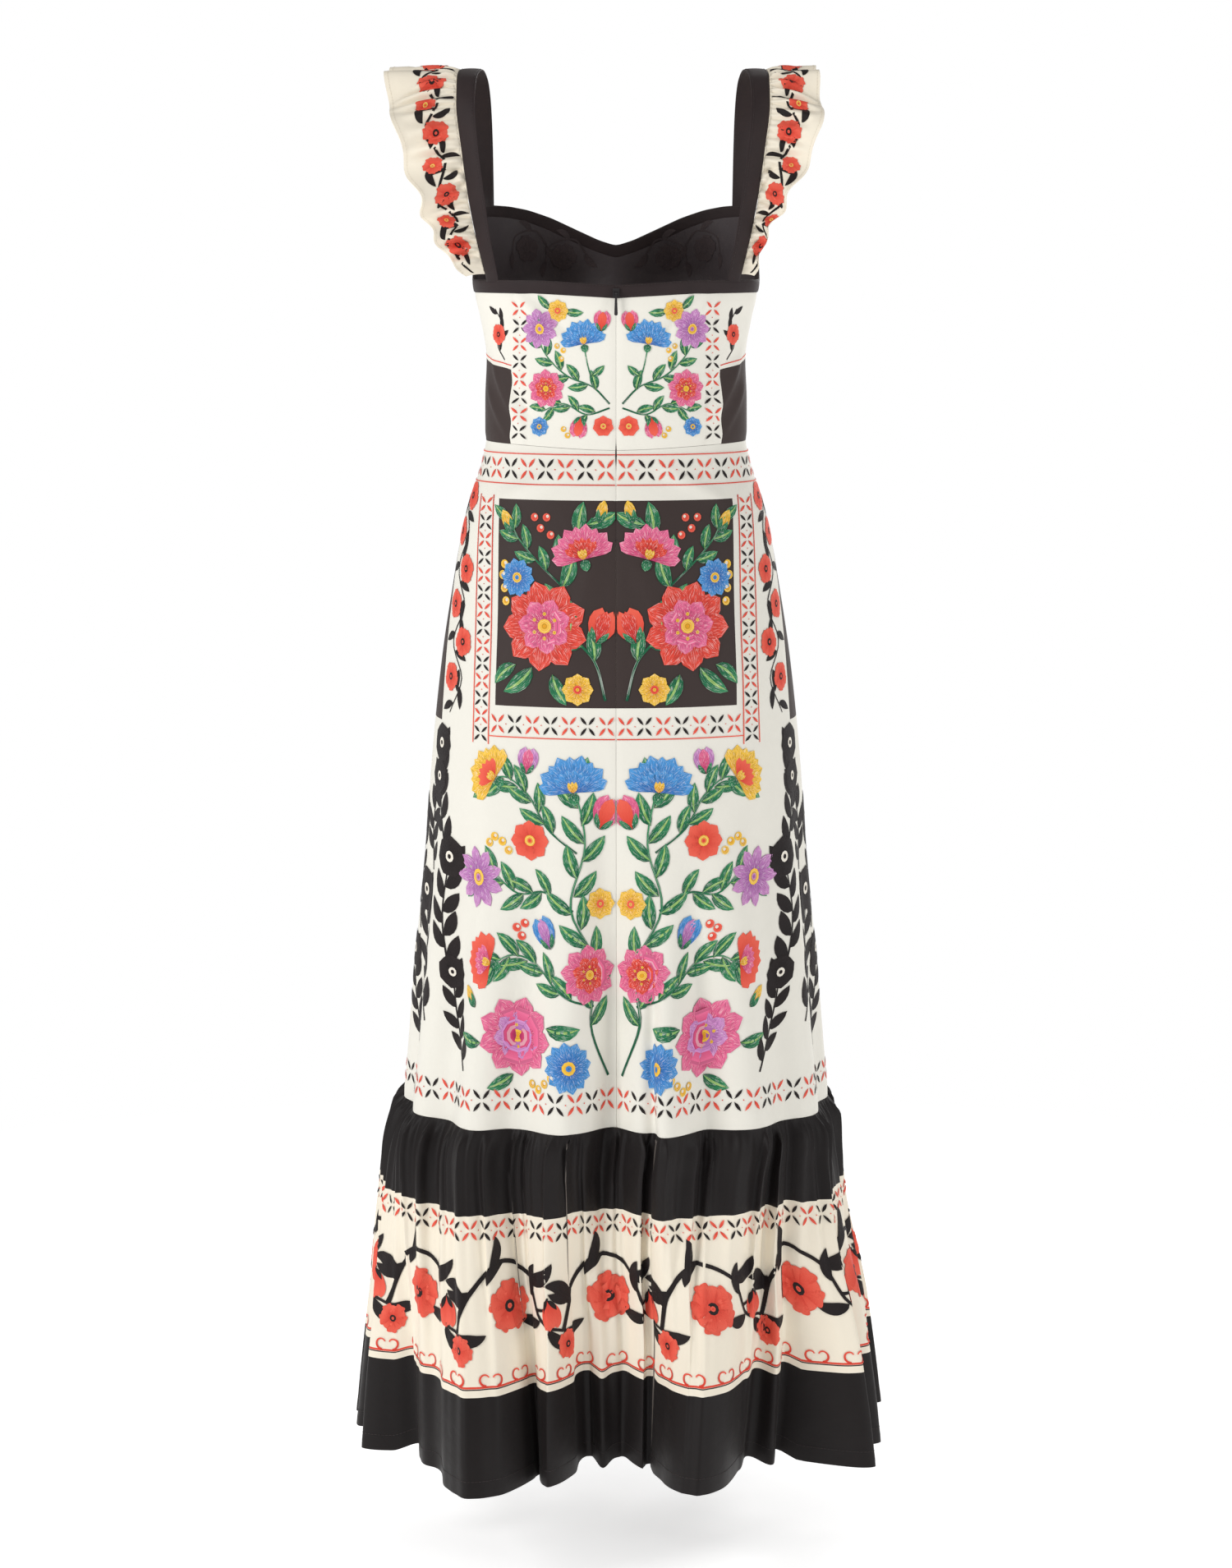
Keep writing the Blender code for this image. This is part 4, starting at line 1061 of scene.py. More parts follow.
ROW_LINKS = (
    ("given", "Lines", "curve", "Mesh"),
    ("curve", "Curve", "steps", "Curve"),
    ("given", "Pitch", "steps", "Length"),
    ("steps", "Curve", "place", "Points"),
    ("body", "Mesh", "place", "Instance"),
    ("tangent", "Tangent", "align", "Vector"),
    ("align", "Rotation", "place", "Rotation"),
    ("given", "Seed", "uneven", "Seed"),
    ("uneven", "Value", "place", "Scale"),
    ("place", "Instances", "real", "Geometry"),
    ("real", "Geometry", "coat", "Geometry"),
    ("given", "Material", "coat", "Material"),
    ("coat", "Geometry", "result", "Row"),
)
ROW_BODIES = {
    "stitches": (
        "GeometryNodeMeshCylinder",
        ("given", "Thickness", "body", "Radius"),
        ("given", "Length", "body", "Depth"),
    ),
    "teeth": (
        "GeometryNodeMeshCube",
        ("given", "Length", "size", "X"),
        ("given", "Thickness", "size", "Y"),
        ("given", "Thickness", "size", "Z"),
        ("size", "Vector", "body", "Size"),
    ),
}


def repeat_tree(shape):
    """Node tree that sets one small shape at even steps along lines of edges."""
    tree = bpy.data.node_groups.new("row_of_" + shape, "GeometryNodeTree")
    for label, way, kind in ROW_SOCKETS:
        tree.interface.new_socket(label, in_out=way, socket_type="NodeSocket" + kind)
    body, *links = ROW_BODIES[shape]
    made = {name: tree.nodes.new(kind) for name, kind in {**ROW_NODES, "body": body}.items()}
    made["steps"].mode = "LENGTH"
    made["align"].axis = "Z"
    made["uneven"].inputs["Min"].default_value = 0.9
    made["uneven"].inputs["Max"].default_value = 1.1
    if shape == "stitches":
        made["body"].inputs["Vertices"].default_value = 6
    for source, out, target, into in (*links, *ROW_LINKS):
        tree.links.new(made[source].outputs[out], made[target].inputs[into])
    return tree


row_trees = {shape: repeat_tree(shape) for shape in ROW_BODIES}


def sew(name, lines, material, slot, pitch=PITCH, length=STITCH, thick=THREAD, shape="stitches"):
    """Rows of stitches or teeth along lines of places, as one plain mesh."""
    counts = [len(line) for line in lines]
    starts = np.concatenate(([0], np.cumsum(counts)[:-1]))
    edges = [(int(a) + k, int(a) + k + 1) for a, n in zip(starts, counts) for k in range(n - 1)]
    mesh = bpy.data.meshes.new(name)
    mesh.from_pydata(np.concatenate(lines).tolist(), edges, [])
    piece = show(name, mesh)
    row = piece.modifiers.new("row", "NODES")
    row.node_group = row_trees[shape]
    given = {"Pitch": pitch, "Length": length, "Thickness": thick, "Seed": 11, "Material": material}
    for item in row.node_group.interface.items_tree:
        if item.in_out == "INPUT" and item.name in given:
            row[item.identifier] = given[item.name]
    bpy.context.view_layer.update()
    solid = bpy.data.meshes.new_from_object(piece.evaluated_get(bpy.context.evaluated_depsgraph_get()))
    piece.modifiers.clear()
    piece.data = solid
    return wear(piece, slot)


def band(name, turn, z, cloth, thick):
    """One length of the band; returns its rows of stitches outside, then inside."""
    points, normals = on_body(turn, z)
    roll = rolled_lift(share, BAND_ROLL)
    outer = points + normals * (roll - BAND_SUNK)[..., None]
    inner = points - normals * (roll + thick - BAND_ROLL)[..., None]
    cut = np.stack((cloth.across_at(turn, z), z), axis=-1)
    piece = shell("cloth_" + name, outer, inner, cut, black_cotton, black_cotton)
    wear(piece, "black_cotton", name)
    faces = outer + normals * STITCH_LIFT, inner - normals * STITCH_LIFT
    return [face[k] for face in faces for k in (1, BAND_ROWS - 2)]


band_lines = []
share = np.linspace(0.0, 1.0, BAND_ROWS)[:, None]
for side, sign in (("right", 1.0), ("left", -1.0)):
    turns = np.sort(np.linspace(gap, 90.0 - gap, 60) * sign)
    z = back_z(turns)[None, :] - BAND_HEIGHT * share
    band_lines += band("back_band_" + side, np.broadcast_to(turns, z.shape), z, back_cloth, BAND_THICK)[:2]
band_lines += band("front_band", *between(front_top, front_foot, share), front_cloth, FRONT_BAND_THICK)
sew("stitches_band", band_lines, black_thread, "black_cotton")


# STRAPS
# Two straps of the black cotton, folded lengthwise to 15 to 22 mm and stitched down both
# edges. Their ends are sewn under the band behind and in front.

STRAP_THICK = 0.0018
STRAP_TUCK = 0.0022
STRAP_STATIONS = (
    # inner edge x and y, outer edge x and y, height
    (0.1105, -0.0622, 0.122, -0.05, -0.1966),
    (0.1185, -0.068, 0.132, -0.0575, -0.155),
    (0.1235, -0.0705, 0.139, -0.06, -0.118),
    (0.129, -0.069, 0.145, -0.058, -0.075),
    (0.1325, -0.058, 0.15, -0.048, -0.033),
    (0.131, -0.033, 0.15, -0.027, -0.0075),
    (0.1265, 0.0, 0.1475, 0.001, 0.0),
    (0.1225, 0.031, 0.1445, 0.033, -0.009),
    (0.12, 0.051, 0.142, 0.05, -0.036),
    (0.119, 0.062, 0.1385, 0.05, -0.08),
    (0.1185, 0.0655, 0.1325, 0.04, -0.1266),
)
SIDES = (("right", 1.0, 0.0055), ("left", -1.0, 0.0))


def depth_at(across, z, in_front):
    """Depth of the body's face this far from the centre line, behind or in front."""
    turns = np.linspace(90.0, 180.0 if in_front else 0.0, 1801)
    points = body_face(turns, np.full(1801, z))
    return float(np.interp(-across, -points[:, 0], points[:, 1]))


def strap_rows(inset):
    """The stations with their ends set against the inside of the band."""
    rows = []
    last = len(STRAP_STATIONS) - 1
    for k, (x_in, y_in, x_out, y_out, z) in enumerate(STRAP_STATIONS):
        x_in, x_out = x_in - inset, x_out - inset
        if k in (0, last):
            sunk = -FRONT_BAND_THICK / 2 if k else BAND_THICK / 2
            y_in, y_out = (depth_at(x, z, k == last) + sunk for x in (x_in, x_out))
        rows.append((k / last, x_in, y_in, x_out, y_out, z))
    return rows


def strap_edges(rows, place):
    x_in, y_in, x_out, y_out, z = (curve_value(rows, place, c) for c in range(1, 6))
    return np.stack((x_in, y_in, z), axis=-1), np.stack((x_out, y_out, z), axis=-1)


def strap_station(rows, place, window=0.01):
    """Inner edge, outer edge and directions at shares of the way over the shoulder."""
    inner, outer = strap_edges(rows, place)
    ahead = strap_edges(rows, np.minimum(1.0, place + window))
    behind = strap_edges(rows, np.maximum(0.0, place - window))
    along = unit(ahead[0] + ahead[1] - behind[0] - behind[1])
    across = unit(outer - inner)
    return inner, outer, along, across, unit(np.cross(across, along))


STRAP_ROWS, STRAP_COLUMNS = 120, 11
for side, sign, inset in SIDES:
    place = np.linspace(0.0, 1.0, STRAP_ROWS)
    inner, outer, along, across, normal = strap_station(strap_rows(inset), place)
    for end in (0, -1):
        normal[end, 2] = 0.0
    normal = unit(normal)[:, None, :]
    share = np.linspace(0.0, 1.0, STRAP_COLUMNS)[None, :, None]
    middle = inner[:, None, :] * (1 - share) + outer[:, None, :] * share
    middle[0, :, 2] -= STRAP_TUCK
    middle[-1, :, 2] -= STRAP_TUCK
    roll = 0.5 * STRAP_THICK * (1.0 - np.abs(2.0 * share - 1.0) ** 6 * 0.7)
    crown = 0.0006 * np.sin(np.pi * share) * normal
    upper = middle + crown + normal * roll
    lower = middle + crown - normal * roll
    length = np.concatenate(([0.0], np.cumsum(np.linalg.norm(np.diff(middle[:, 5], axis=0), axis=1))))
    width = np.linalg.norm(outer - inner, axis=1)[:, None] * share[..., 0]
    cut = np.stack((width, np.broadcast_to(length[:, None], width.shape)), axis=-1)
    flip = np.array((sign, 1.0, 1.0))
    strap = shell("cloth_strap_" + side, upper * flip, lower * flip, cut, black_cotton, black_cotton)
    wear(strap, "black_cotton", "strap_" + side)
    lines = [(face * flip)[3:-3, column] for face in (upper, lower) for column in (1, STRAP_COLUMNS - 2)]
    sew("stitches_strap_" + side, lines, black_thread, "black_cotton")


# STRAP RUFFLES
# Gathered strips of cream sateen with a flower border, sewn to the straps' outer edges.
# They pucker at the seam and flutter at the free edge, which has a narrow hem.

RUFFLE_STATIONS = (
    # share of the way, width on the right, on the left, direction out, to the front and up
    (0.0, 0.012, 0.018, 1.0, -0.1, 0.05),
    (0.08, 0.014, 0.036, 1.0, -0.18, 0.02),
    (0.22, 0.031, 0.047, 1.0, -0.25, -0.06),
    (0.38, 0.05, 0.06, 1.0, -0.22, -0.04),
    (0.55, 0.045, 0.068, 1.0, 0.0, 0.12),
    (0.72, 0.05, 0.054, 1.0, 0.22, -0.04),
    (0.88, 0.038, 0.04, 1.0, 0.25, -0.06),
    (1.0, 0.02, 0.02, 1.0, 0.15, 0.05),
)
RUFFLE_THICK = 0.0009
RUFFLE_SEAM = 0.0007
RUFFLE_PUCKERS = 30
RUFFLE_WAVES = 9
RUFFLE_WAVE_REACH = 0.0085
RUFFLE_PUCKER_REACH = 0.0032
RUFFLE_SCALLOP = 0.0022
PRINT_DRAWN_OUT = 1.4
RUFFLE_FULLNESS = 1.7

ruffle_sateen = sateen("ruffle_sateen", WARM_CREAM, 0.0, (0.93, 0.9, 0.84, 1.0))


def ruffle_face(sign, inset, width_column):
    """The ruffle's middle surface: share of the way along, share of the way across."""
    rows = strap_rows(inset)

    def face(place, share):
        place, share = np.broadcast_arrays(np.asarray(place, float), np.asarray(share, float))
        inside = np.clip(place, 0.0, 1.0)
        way = 0.012 + 0.976 * inside
        _, outer, along, across, _ = strap_station(rows, way, 0.06)
        width, out, back, up = (curve_value(RUFFLE_STATIONS, inside, c) for c in (width_column, 3, 4, 5))
        width = width + RUFFLE_SCALLOP * np.sin(2.0 * np.pi * (11.0 * inside + 0.4 * np.sin(8.0 * inside)))
        spread = unit(np.stack((out, back, up), axis=-1))
        normal = unit(np.cross(spread, along))
        calm = smooth_step(inside / 0.06) * smooth_step((1.0 - inside) / 0.06)
        edge = np.sin(2.0 * np.pi * (RUFFLE_WAVES * inside + 0.35 * np.sin(9.0 * inside)))
        reach = 0.36 + 0.16 * np.sin(21.0 * inside) + 0.1 * np.sin(47.0 * inside)
        pucker = np.maximum(0.0, np.sin(np.pi * np.minimum(1.0, share / (2.0 * reach))))
        count = RUFFLE_PUCKERS * inside + 0.3 * np.sin(13.0 * inside)
        depth = RUFFLE_PUCKER_REACH * (1.2 - 0.5 * inside + 0.25 * np.sin(31.0 * inside))
        rise = depth * pucker * np.cos(2.0 * np.pi * count)
        near_seam = np.exp(-(((share - 0.12) / 0.14) ** 2))
        fine = near_seam * 0.0009 * np.cos(2.0 * np.pi * count * 2.6 + 1.0)
        lift = (rise + fine + RUFFLE_WAVE_REACH * edge * np.maximum(0.0, share) ** 1.4) * calm
        point = outer + across * RUFFLE_SEAM + spread * (width * share)[..., None] + normal * lift[..., None]
        point[..., 2] -= 0.17 * share * share * width
        point[..., 0] *= sign
        return point

    return face


RUFFLE_ROWS, RUFFLE_COLUMNS = 440, 22
VINE_PITCH = 0.062
VINE_FRONDS = (
    (-0.014, 0.027, 100.0, 0.024, 70.0),
    (0.01, 0.029, 60.0, 0.022, 80.0),
    (0.016, 0.02, -170.0, 0.018, -70.0),
    (0.024, 0.015, 20.0, 0.016, -60.0),
    (-0.02, 0.014, 60.0, 0.018, 70.0),
    (0.036, 0.018, 150.0, 0.018, 60.0),
)
for column, (side, sign, inset) in enumerate(SIDES, 1):
    face = ruffle_face(sign, inset, column)
    size = (RUFFLE_ROWS, RUFFLE_COLUMNS)
    place = np.broadcast_to(np.linspace(0.0, 1.0, RUFFLE_ROWS)[:, None], size)
    share = np.broadcast_to(np.linspace(0.0, 1.0, RUFFLE_COLUMNS)[None, :] ** 1.15, size)
    points, normals = face_and_normal(face, place, share, 0.002, 0.01)
    turned = -1.0 if (normals[220, 8] * np.array((0.0, -1.0, 0.3))).sum() < 0.0 else 1.0
    normals = normals * turned
    hem = 0.0003 * smooth_step((share - 0.93) / 0.03)
    half = (0.5 * RUFFLE_THICK + hem)[..., None]
    seam = face(np.linspace(0, 1, 60), np.zeros(60))
    run = float(np.linalg.norm(np.diff(seam, axis=0), axis=1).sum()) * RUFFLE_FULLNESS
    cut = np.stack((place * run, share * curve_value(RUFFLE_STATIONS, place, column)), axis=-1)
    upper, lower = points + normals * half, points - normals * half
    ruffle = shell("cloth_strap_ruffle_" + side, upper, lower, cut, ruffle_sateen, ruffle_sateen)
    wear(ruffle, "ruffle_cotton", "strap_ruffle_" + side)
    edge = points + normals * (half + STITCH_LIFT)
    lines = [edge[4:-4, k] for k in (1, RUFFLE_COLUMNS - 2)]
    sew("stitches_ruffle_" + side, lines, cream_thread, "ruffle_cotton")

    vine = Print(2)
    steps = int(run / VINE_PITCH)
    wave = [(k * VINE_PITCH / 2, 0.022 + (0.007 if k % 2 else -0.007)) for k in range(2 * steps + 1)]
    vine.stem(wave, 0.0024, "black", 9)
    for k in range(steps):
        x = (k + 0.5) * VINE_PITCH
        vine.daisy(x, 0.02, 0.0105, "coral", "black", 5, 20.0 * k, 0.98)
        vine.daisy(x + 0.5 * VINE_PITCH, 0.025, 0.0075, "coral", "yellow", 5, 35.0 * k, 0.98)
        vine.fronds(x, VINE_FRONDS, 0.3)
    drawn_out = np.array((PRINT_DRAWN_OUT, 1.0))
    vine.shapes = [(grid * drawn_out, ink, layer) for grid, ink, layer in vine.shapes]

    def place_on_ruffle(along, out):
        way = np.clip(along / run, 0.004, 0.996)
        width = curve_value(RUFFLE_STATIONS, way, column)
        share = np.clip(out / (0.6 * width + 0.4 * 0.042), 0.02, 0.985)
        points, normals = face_and_normal(face, way, share, 0.002, 0.01)
        normals = normals * turned
        return points + normals * 0.5 * RUFFLE_THICK, normals

    wear(lay_print("print_strap_ruffle_" + side, vine, place_on_ruffle, 0.0, run), "ruffle_cotton")


# SKIRT
# An A-line skirt of two back panels, parted by the seam below the zip, and one front
# panel. Cream sateen with a bordered folk print and a black block across each hip.

HIP_TOP, HIP_FOOT = -0.402, -0.593
HIP_OUTER = 0.118
SIDE_BLOCK, SIDE_BLOCK_TOP, SIDE_BLOCK_FOOT = 0.206, -0.43, -0.615


def skirt_ground(finish, across, up):
    """Cream ground with one broad black block across the hips."""
    side = across.size()
    block = (side < HIP_OUTER) * (up < HIP_TOP) * (up > HIP_FOOT)
    beside = (side > SIDE_BLOCK) * (up < SIDE_BLOCK_TOP) * (up > SIDE_BLOCK_FOOT)
    return finish.blend(block + beside, CREAM, WARM_BLACK)


skirt_sateen = sateen("skirt_sateen", skirt_ground, 0.0, (0.93, 0.91, 0.86, 1.0))
gap = seam_turn(-0.6)
SKIRT_LEVELS = 130
levels = np.linspace(0.0, 1.0, SKIRT_LEVELS)[:, None]
for node, start, end, count, cloth in (
    ("skirt_back_right", gap, 90.0 - gap, 90, back_cloth),
    ("skirt_back_left", -90.0 + gap, -gap, 90, back_cloth),
    ("skirt_front", 90.0 + gap, 270.0 - gap, 180, front_cloth),
):
    turns = np.linspace(start, end, count)
    top = waist_z(turns) - SEAM_GAP
    z = top[None, :] + (TIER_SEAM_Z - top[None, :]) * levels
    turn = np.broadcast_to(turns, z.shape)
    if cloth is back_cloth:
        turn = gaping(turn, z)
    centre = np.exp(-(turn_between(turn, 0.0) / 1.1) ** 2)
    side_seams = np.exp(-((np.abs(turn_between(turn, 0.0)) - 90.0) / 1.1) ** 2)
    puckers = -0.0012 * np.exp(-((z - top) / 0.006) ** 2) - 0.0007 * (centre + side_seams)
    puckers = puckers - 0.0007 * np.exp(-((z - TIER_SEAM_Z) / 0.006) ** 2)
    panel = body_shell("cloth_" + node, turn, z, cloth, skirt_sateen, wrong_side, puckers)
    wear(panel, "printed_cotton", node)

# Bordered folk garden: hip flowers on black, rising vines, and a leafy foot
garden = Print(both=True).draw((
    ("crosses", (0.0, -0.374), (0.23, -0.374), 0.02),
    ("line", (0.0, -0.36), (0.3, -0.36)),
    ("line", (0.0, -0.388), (0.3, -0.388)),
    ("line", (0.1255, -0.399), (0.1255, -0.63), 0.0012),
    ("line", (0.1465, -0.399), (0.1465, -0.63), 0.0012),
    ("crosses", (0.136, -0.4), (0.136, -0.629), 0.018),
    ("crosses", (0.0, -0.61), (0.124, -0.61), 0.018),
    ("line", (0.0, -0.622), (0.1255, -0.622)),
    ("crosses", (0.0, -0.962), (0.36, -0.962), 0.021),
    # Flowers across the hips
    (
        "branch",
        ((0.01, -0.586), (0.02, -0.55), (0.044, -0.52), (0.052, -0.476), (0.04, -0.44), (0.022, -0.418)),
        0.0026, "green", 0.032, 0.44, 9,
    ),
    ("branch", ((0.052, -0.48), (0.076, -0.458), (0.096, -0.436), (0.106, -0.416)), 0.002, "green", 0.024, 0.44, 6),
    ("rosette", 0.068, -0.518, 0.042, "red", "rose", "yellow", 10.0),
    ("carnation", 0.03, -0.456, 16.0, 0.033, "rose", "red"),
    ("bud", 0.101, -0.433, 30.0, 0.024, "yellow"),
    ("bud", 0.016, -0.423, -14.0, 0.022, "yellow"),
    ("tulip", 0.019, -0.533, -20.0, 0.034, "coral", "red"),
    ("daisy", 0.096, -0.474, 0.018, "blue", "yellow", 10, 12.0),
    ("daisy", 0.036, -0.576, 0.015, "yellow", "red", 8),
    ("leaf", 0.08, -0.556, 150.0, 0.038, 0.016, -40.0, 0),
    ("leaf", 0.096, -0.554, 110.0, 0.03, 0.013, 40.0, 0),
    ("leaf", 0.06, -0.562, 190.0, 0.032, 0.014, 30.0, 0),
    ("berries", ((0.11, -0.462), (0.112, -0.472), (0.11, -0.484), (0.108, -0.496)), 0.0042),
    ("berries", ((0.072, -0.428), (0.066, -0.418), (0.078, -0.418), (0.062, -0.434)), 0.0038, "coral"),
    # Vines rising through the main field
    (
        "branch",
        ((0.008, -0.94), (0.03, -0.89), (0.022, -0.835), (0.046, -0.78), (0.03, -0.72), (0.04, -0.66)),
        0.0028, "green", 0.034, 0.4, 15,
    ),
    ("carnation", 0.04, -0.672, 6.0, 0.036, "blue", "blue"),
    ("tulip", 0.016, -0.706, -24.0, 0.034, "rose", "coral"),
    ("daisy", 0.016, -0.776, 0.015, "yellow", "coral", 8),
    ("rosette", 0.03, -0.842, 0.029, "rose", "red", "yellow"),
    ("daisy", 0.056, -0.928, 0.025, "blue", "yellow", 12, 8.0),
    (
        "branch",
        ((0.044, -0.782), (0.072, -0.766), (0.1, -0.768), (0.126, -0.748), (0.148, -0.756)),
        0.0022, "green", 0.029, 0.4, 10,
    ),
    ("daisy", 0.142, -0.756, 0.029, "lilac", "yellow", 9, 10.0, 0.42),
    (
        "branch",
        ((0.038, -0.728), (0.066, -0.706), (0.084, -0.676), (0.106, -0.66), (0.128, -0.664)),
        0.0022, "green", 0.029, 0.4, 10,
    ),
    ("carnation", 0.118, -0.662, 58.0, 0.032, "yellow", "coral"),
    ("daisy", 0.084, -0.718, 0.019, "coral", "yellow", 8),
    ("tulip", 0.086, -0.656, -8.0, 0.026, "lilac", "rose"),
    (
        "branch",
        ((0.026, -0.872), (0.056, -0.862), (0.084, -0.836), (0.11, -0.826), (0.134, -0.836)),
        0.0022, "green", 0.03, 0.4, 10,
    ),
    ("tulip", 0.068, -0.818, 24.0, 0.032, "blue", "lilac"),
    ("carnation", 0.132, -0.834, 74.0, 0.03, "coral", "rose"),
    ("rosette", 0.112, -0.902, 0.038, "rose", "lilac", "yellow", 20.0),
    ("leaf", 0.078, -0.892, 250.0, 0.036, 0.015, 40.0, 0),
    ("leaf", 0.148, -0.908, 100.0, 0.032, 0.013, -40.0, 0),
    ("leaf", 0.118, -0.938, 130.0, 0.03, 0.013, -30.0, 0),
    ("bud", 0.152, -0.876, 40.0, 0.024, "yellow"),
    ("berries", ((0.082, -0.944), (0.09, -0.95), (0.098, -0.946), (0.074, -0.938)), 0.0042),
    ("berries", ((0.112, -0.72), (0.12, -0.716), (0.126, -0.722), (0.106, -0.728)), 0.0042),
    ("berries", ((0.096, -0.796), (0.104, -0.8), (0.1, -0.808)), 0.0042, "coral"),
))
# Black sprigs and a small red vine down the sides
for x, y, turn, size in (
    (0.186, -0.74, 8.0, 0.105),
    (0.196, -0.85, -8.0, 0.11),
    (0.176, -0.938, 10.0, 0.09),
    (0.228, -0.76, -14.0, 0.095),
    (0.236, -0.9, 6.0, 0.12),
    (0.27, -0.82, -6.0, 0.11),
    (0.274, -0.94, 8.0, 0.1),
):
    lean = math.radians(turn)
    tip = (x + size * math.sin(lean), y + size * math.cos(lean))
    mid = (x + 0.5 * size * math.sin(lean) + 0.008, y + 0.5 * size * math.cos(lean))
    garden.branch(((x, y), mid, tip), 0.0024, "black", size * 0.27, 0.44, 9, 46.0, 0.1)
    garden.daisy(*tip, size * 0.18, "black", "cream", 7, turn, 0.8)
SIDE_VINE = 0.176
side_vine = [(SIDE_VINE + 0.01 * (-1) ** k, -0.402 - 0.034 * k) for k in range(7)]
garden.stem(side_vine, 0.002, "black", 5)
garden.leaves(side_vine, "black", 0.022, 0.36, 13, 50.0, 0.0)
for k, (x, y) in enumerate(side_vine[:6]):
    garden.daisy(2 * SIDE_VINE - x, y, 0.013, "coral", "black", 5, 15.0 * k, 0.9)

SKIRT_EDGE = 0.4
PANEL_PRINT_TOP, PANEL_PRINT_LIFT = -0.3515, 0.00025
for node, cloth, turn_low, turn_high, low, high in (
    ("skirt_back_right", back_cloth, 0.3, 89.7, 0.0008, SKIRT_EDGE),
    ("skirt_back_left", back_cloth, -89.7, -0.3, -SKIRT_EDGE, -0.0008),
    ("skirt_front", front_cloth, 90.3, 269.7, -SKIRT_EDGE, SKIRT_EDGE),
):

    def place_on_panel(across, up):
        """Each shape is cut off at the panel's own seams."""
        up = np.clip(up, TIER_SEAM_Z + 0.001, PANEL_PRINT_TOP)
        first, last = (cloth.across_at(np.full(up.shape, t), up) for t in (turn_low, turn_high))
        points, normals = laid_on(cloth)(np.clip(across, first, last), up)
        return points + normals * PANEL_PRINT_LIFT, normals

    wear(lay_print("print_" + node, garden, place_on_panel, low, high), "printed_cotton")


# HEM TIER
# A straight strip of sateen in a back and a front length, gathered to the skirt's foot.
# It is printed in bands: black, cream with a flower vine, then black to the hem.

TIER_SECTIONS = (
    # share of the way down, half width, back depth, front depth, squareness, swing
    (0.0, 0.2025, 0.18, 0.176, 2.6, 0.0),
    (0.05, 0.212, 0.183, 0.179, 2.6, -0.002),
    (0.15, 0.217, 0.179, 0.177, 2.5, -0.0045),
    (0.35, 0.222, 0.169, 0.17, 2.4, -0.0045),
    (0.65, 0.23, 0.158, 0.162, 2.3, 0.0),
    (1.0, 0.235, 0.143, 0.154, 2.2, 0.0),
)
TIER_FOLDS = (
    # angle, reach at the hem, half width in degrees, lean to the right
    (-88.0, 0.024, 7.5, 0.1),
    (-71.0, 0.04, 9.5, 0.1),
    (-58.0, 0.022, 7.0, 0.0),
    (-41.0, 0.104, 20.0, 0.56),
    (-20.0, 0.07, 9.0, 0.15),
    (-4.5, 0.016, 5.0, 0.0),
    (8.5, 0.016, 6.5, 0.1),
    (28.5, 0.088, 19.0, -0.5),
    (48.5, 0.022, 5.5, -0.2),
    (60.5, 0.086, 8.5, -0.1),
    (74.0, 0.044, 8.5, 0.1),
    (89.0, 0.024, 7.0, 0.0),
    (104.0, 0.046, 9.0, 0.15),
    (120.0, 0.03, 8.0, 0.0),
    (140.0, 0.08, 14.0, 0.42),
    (158.0, 0.04, 8.0, 0.1),
    (171.0, 0.058, 8.5, 0.2),
    (184.0, 0.018, 6.0, 0.0),
    (199.0, 0.068, 11.0, -0.35),
    (215.0, 0.034, 8.0, 0.0),
    (232.0, 0.076, 12.5, -0.38),
    (249.0, 0.036, 8.0, 0.1),
    (261.0, 0.03, 7.0, 0.0),
)
HEM_Z = -1.326
TIER_LENGTH = TIER_SEAM_Z - HEM_Z
VALLEY_LIFT = 0.009
FULL_FOLD = 0.024
GATHERS_PER_HALF = 30
GATHER_REACH = 0.0047
FOLD_FADE = 0.62
FOLD_SHEAR = 0.72
BLACK_TOP = 0.08
CREAM_FOOT = 0.245
HEM_STITCH_SHARE = 0.96


def gather_angle(count):
    from_side = count - GATHERS_PER_HALF / 2
    slow = 1.4 * np.sin(2.0 * np.pi * from_side / 7.5)
    quick = 0.7 * np.sin(2.0 * np.pi * from_side / 3.0)
    return 180.0 / GATHERS_PER_HALF * count + slow + quick


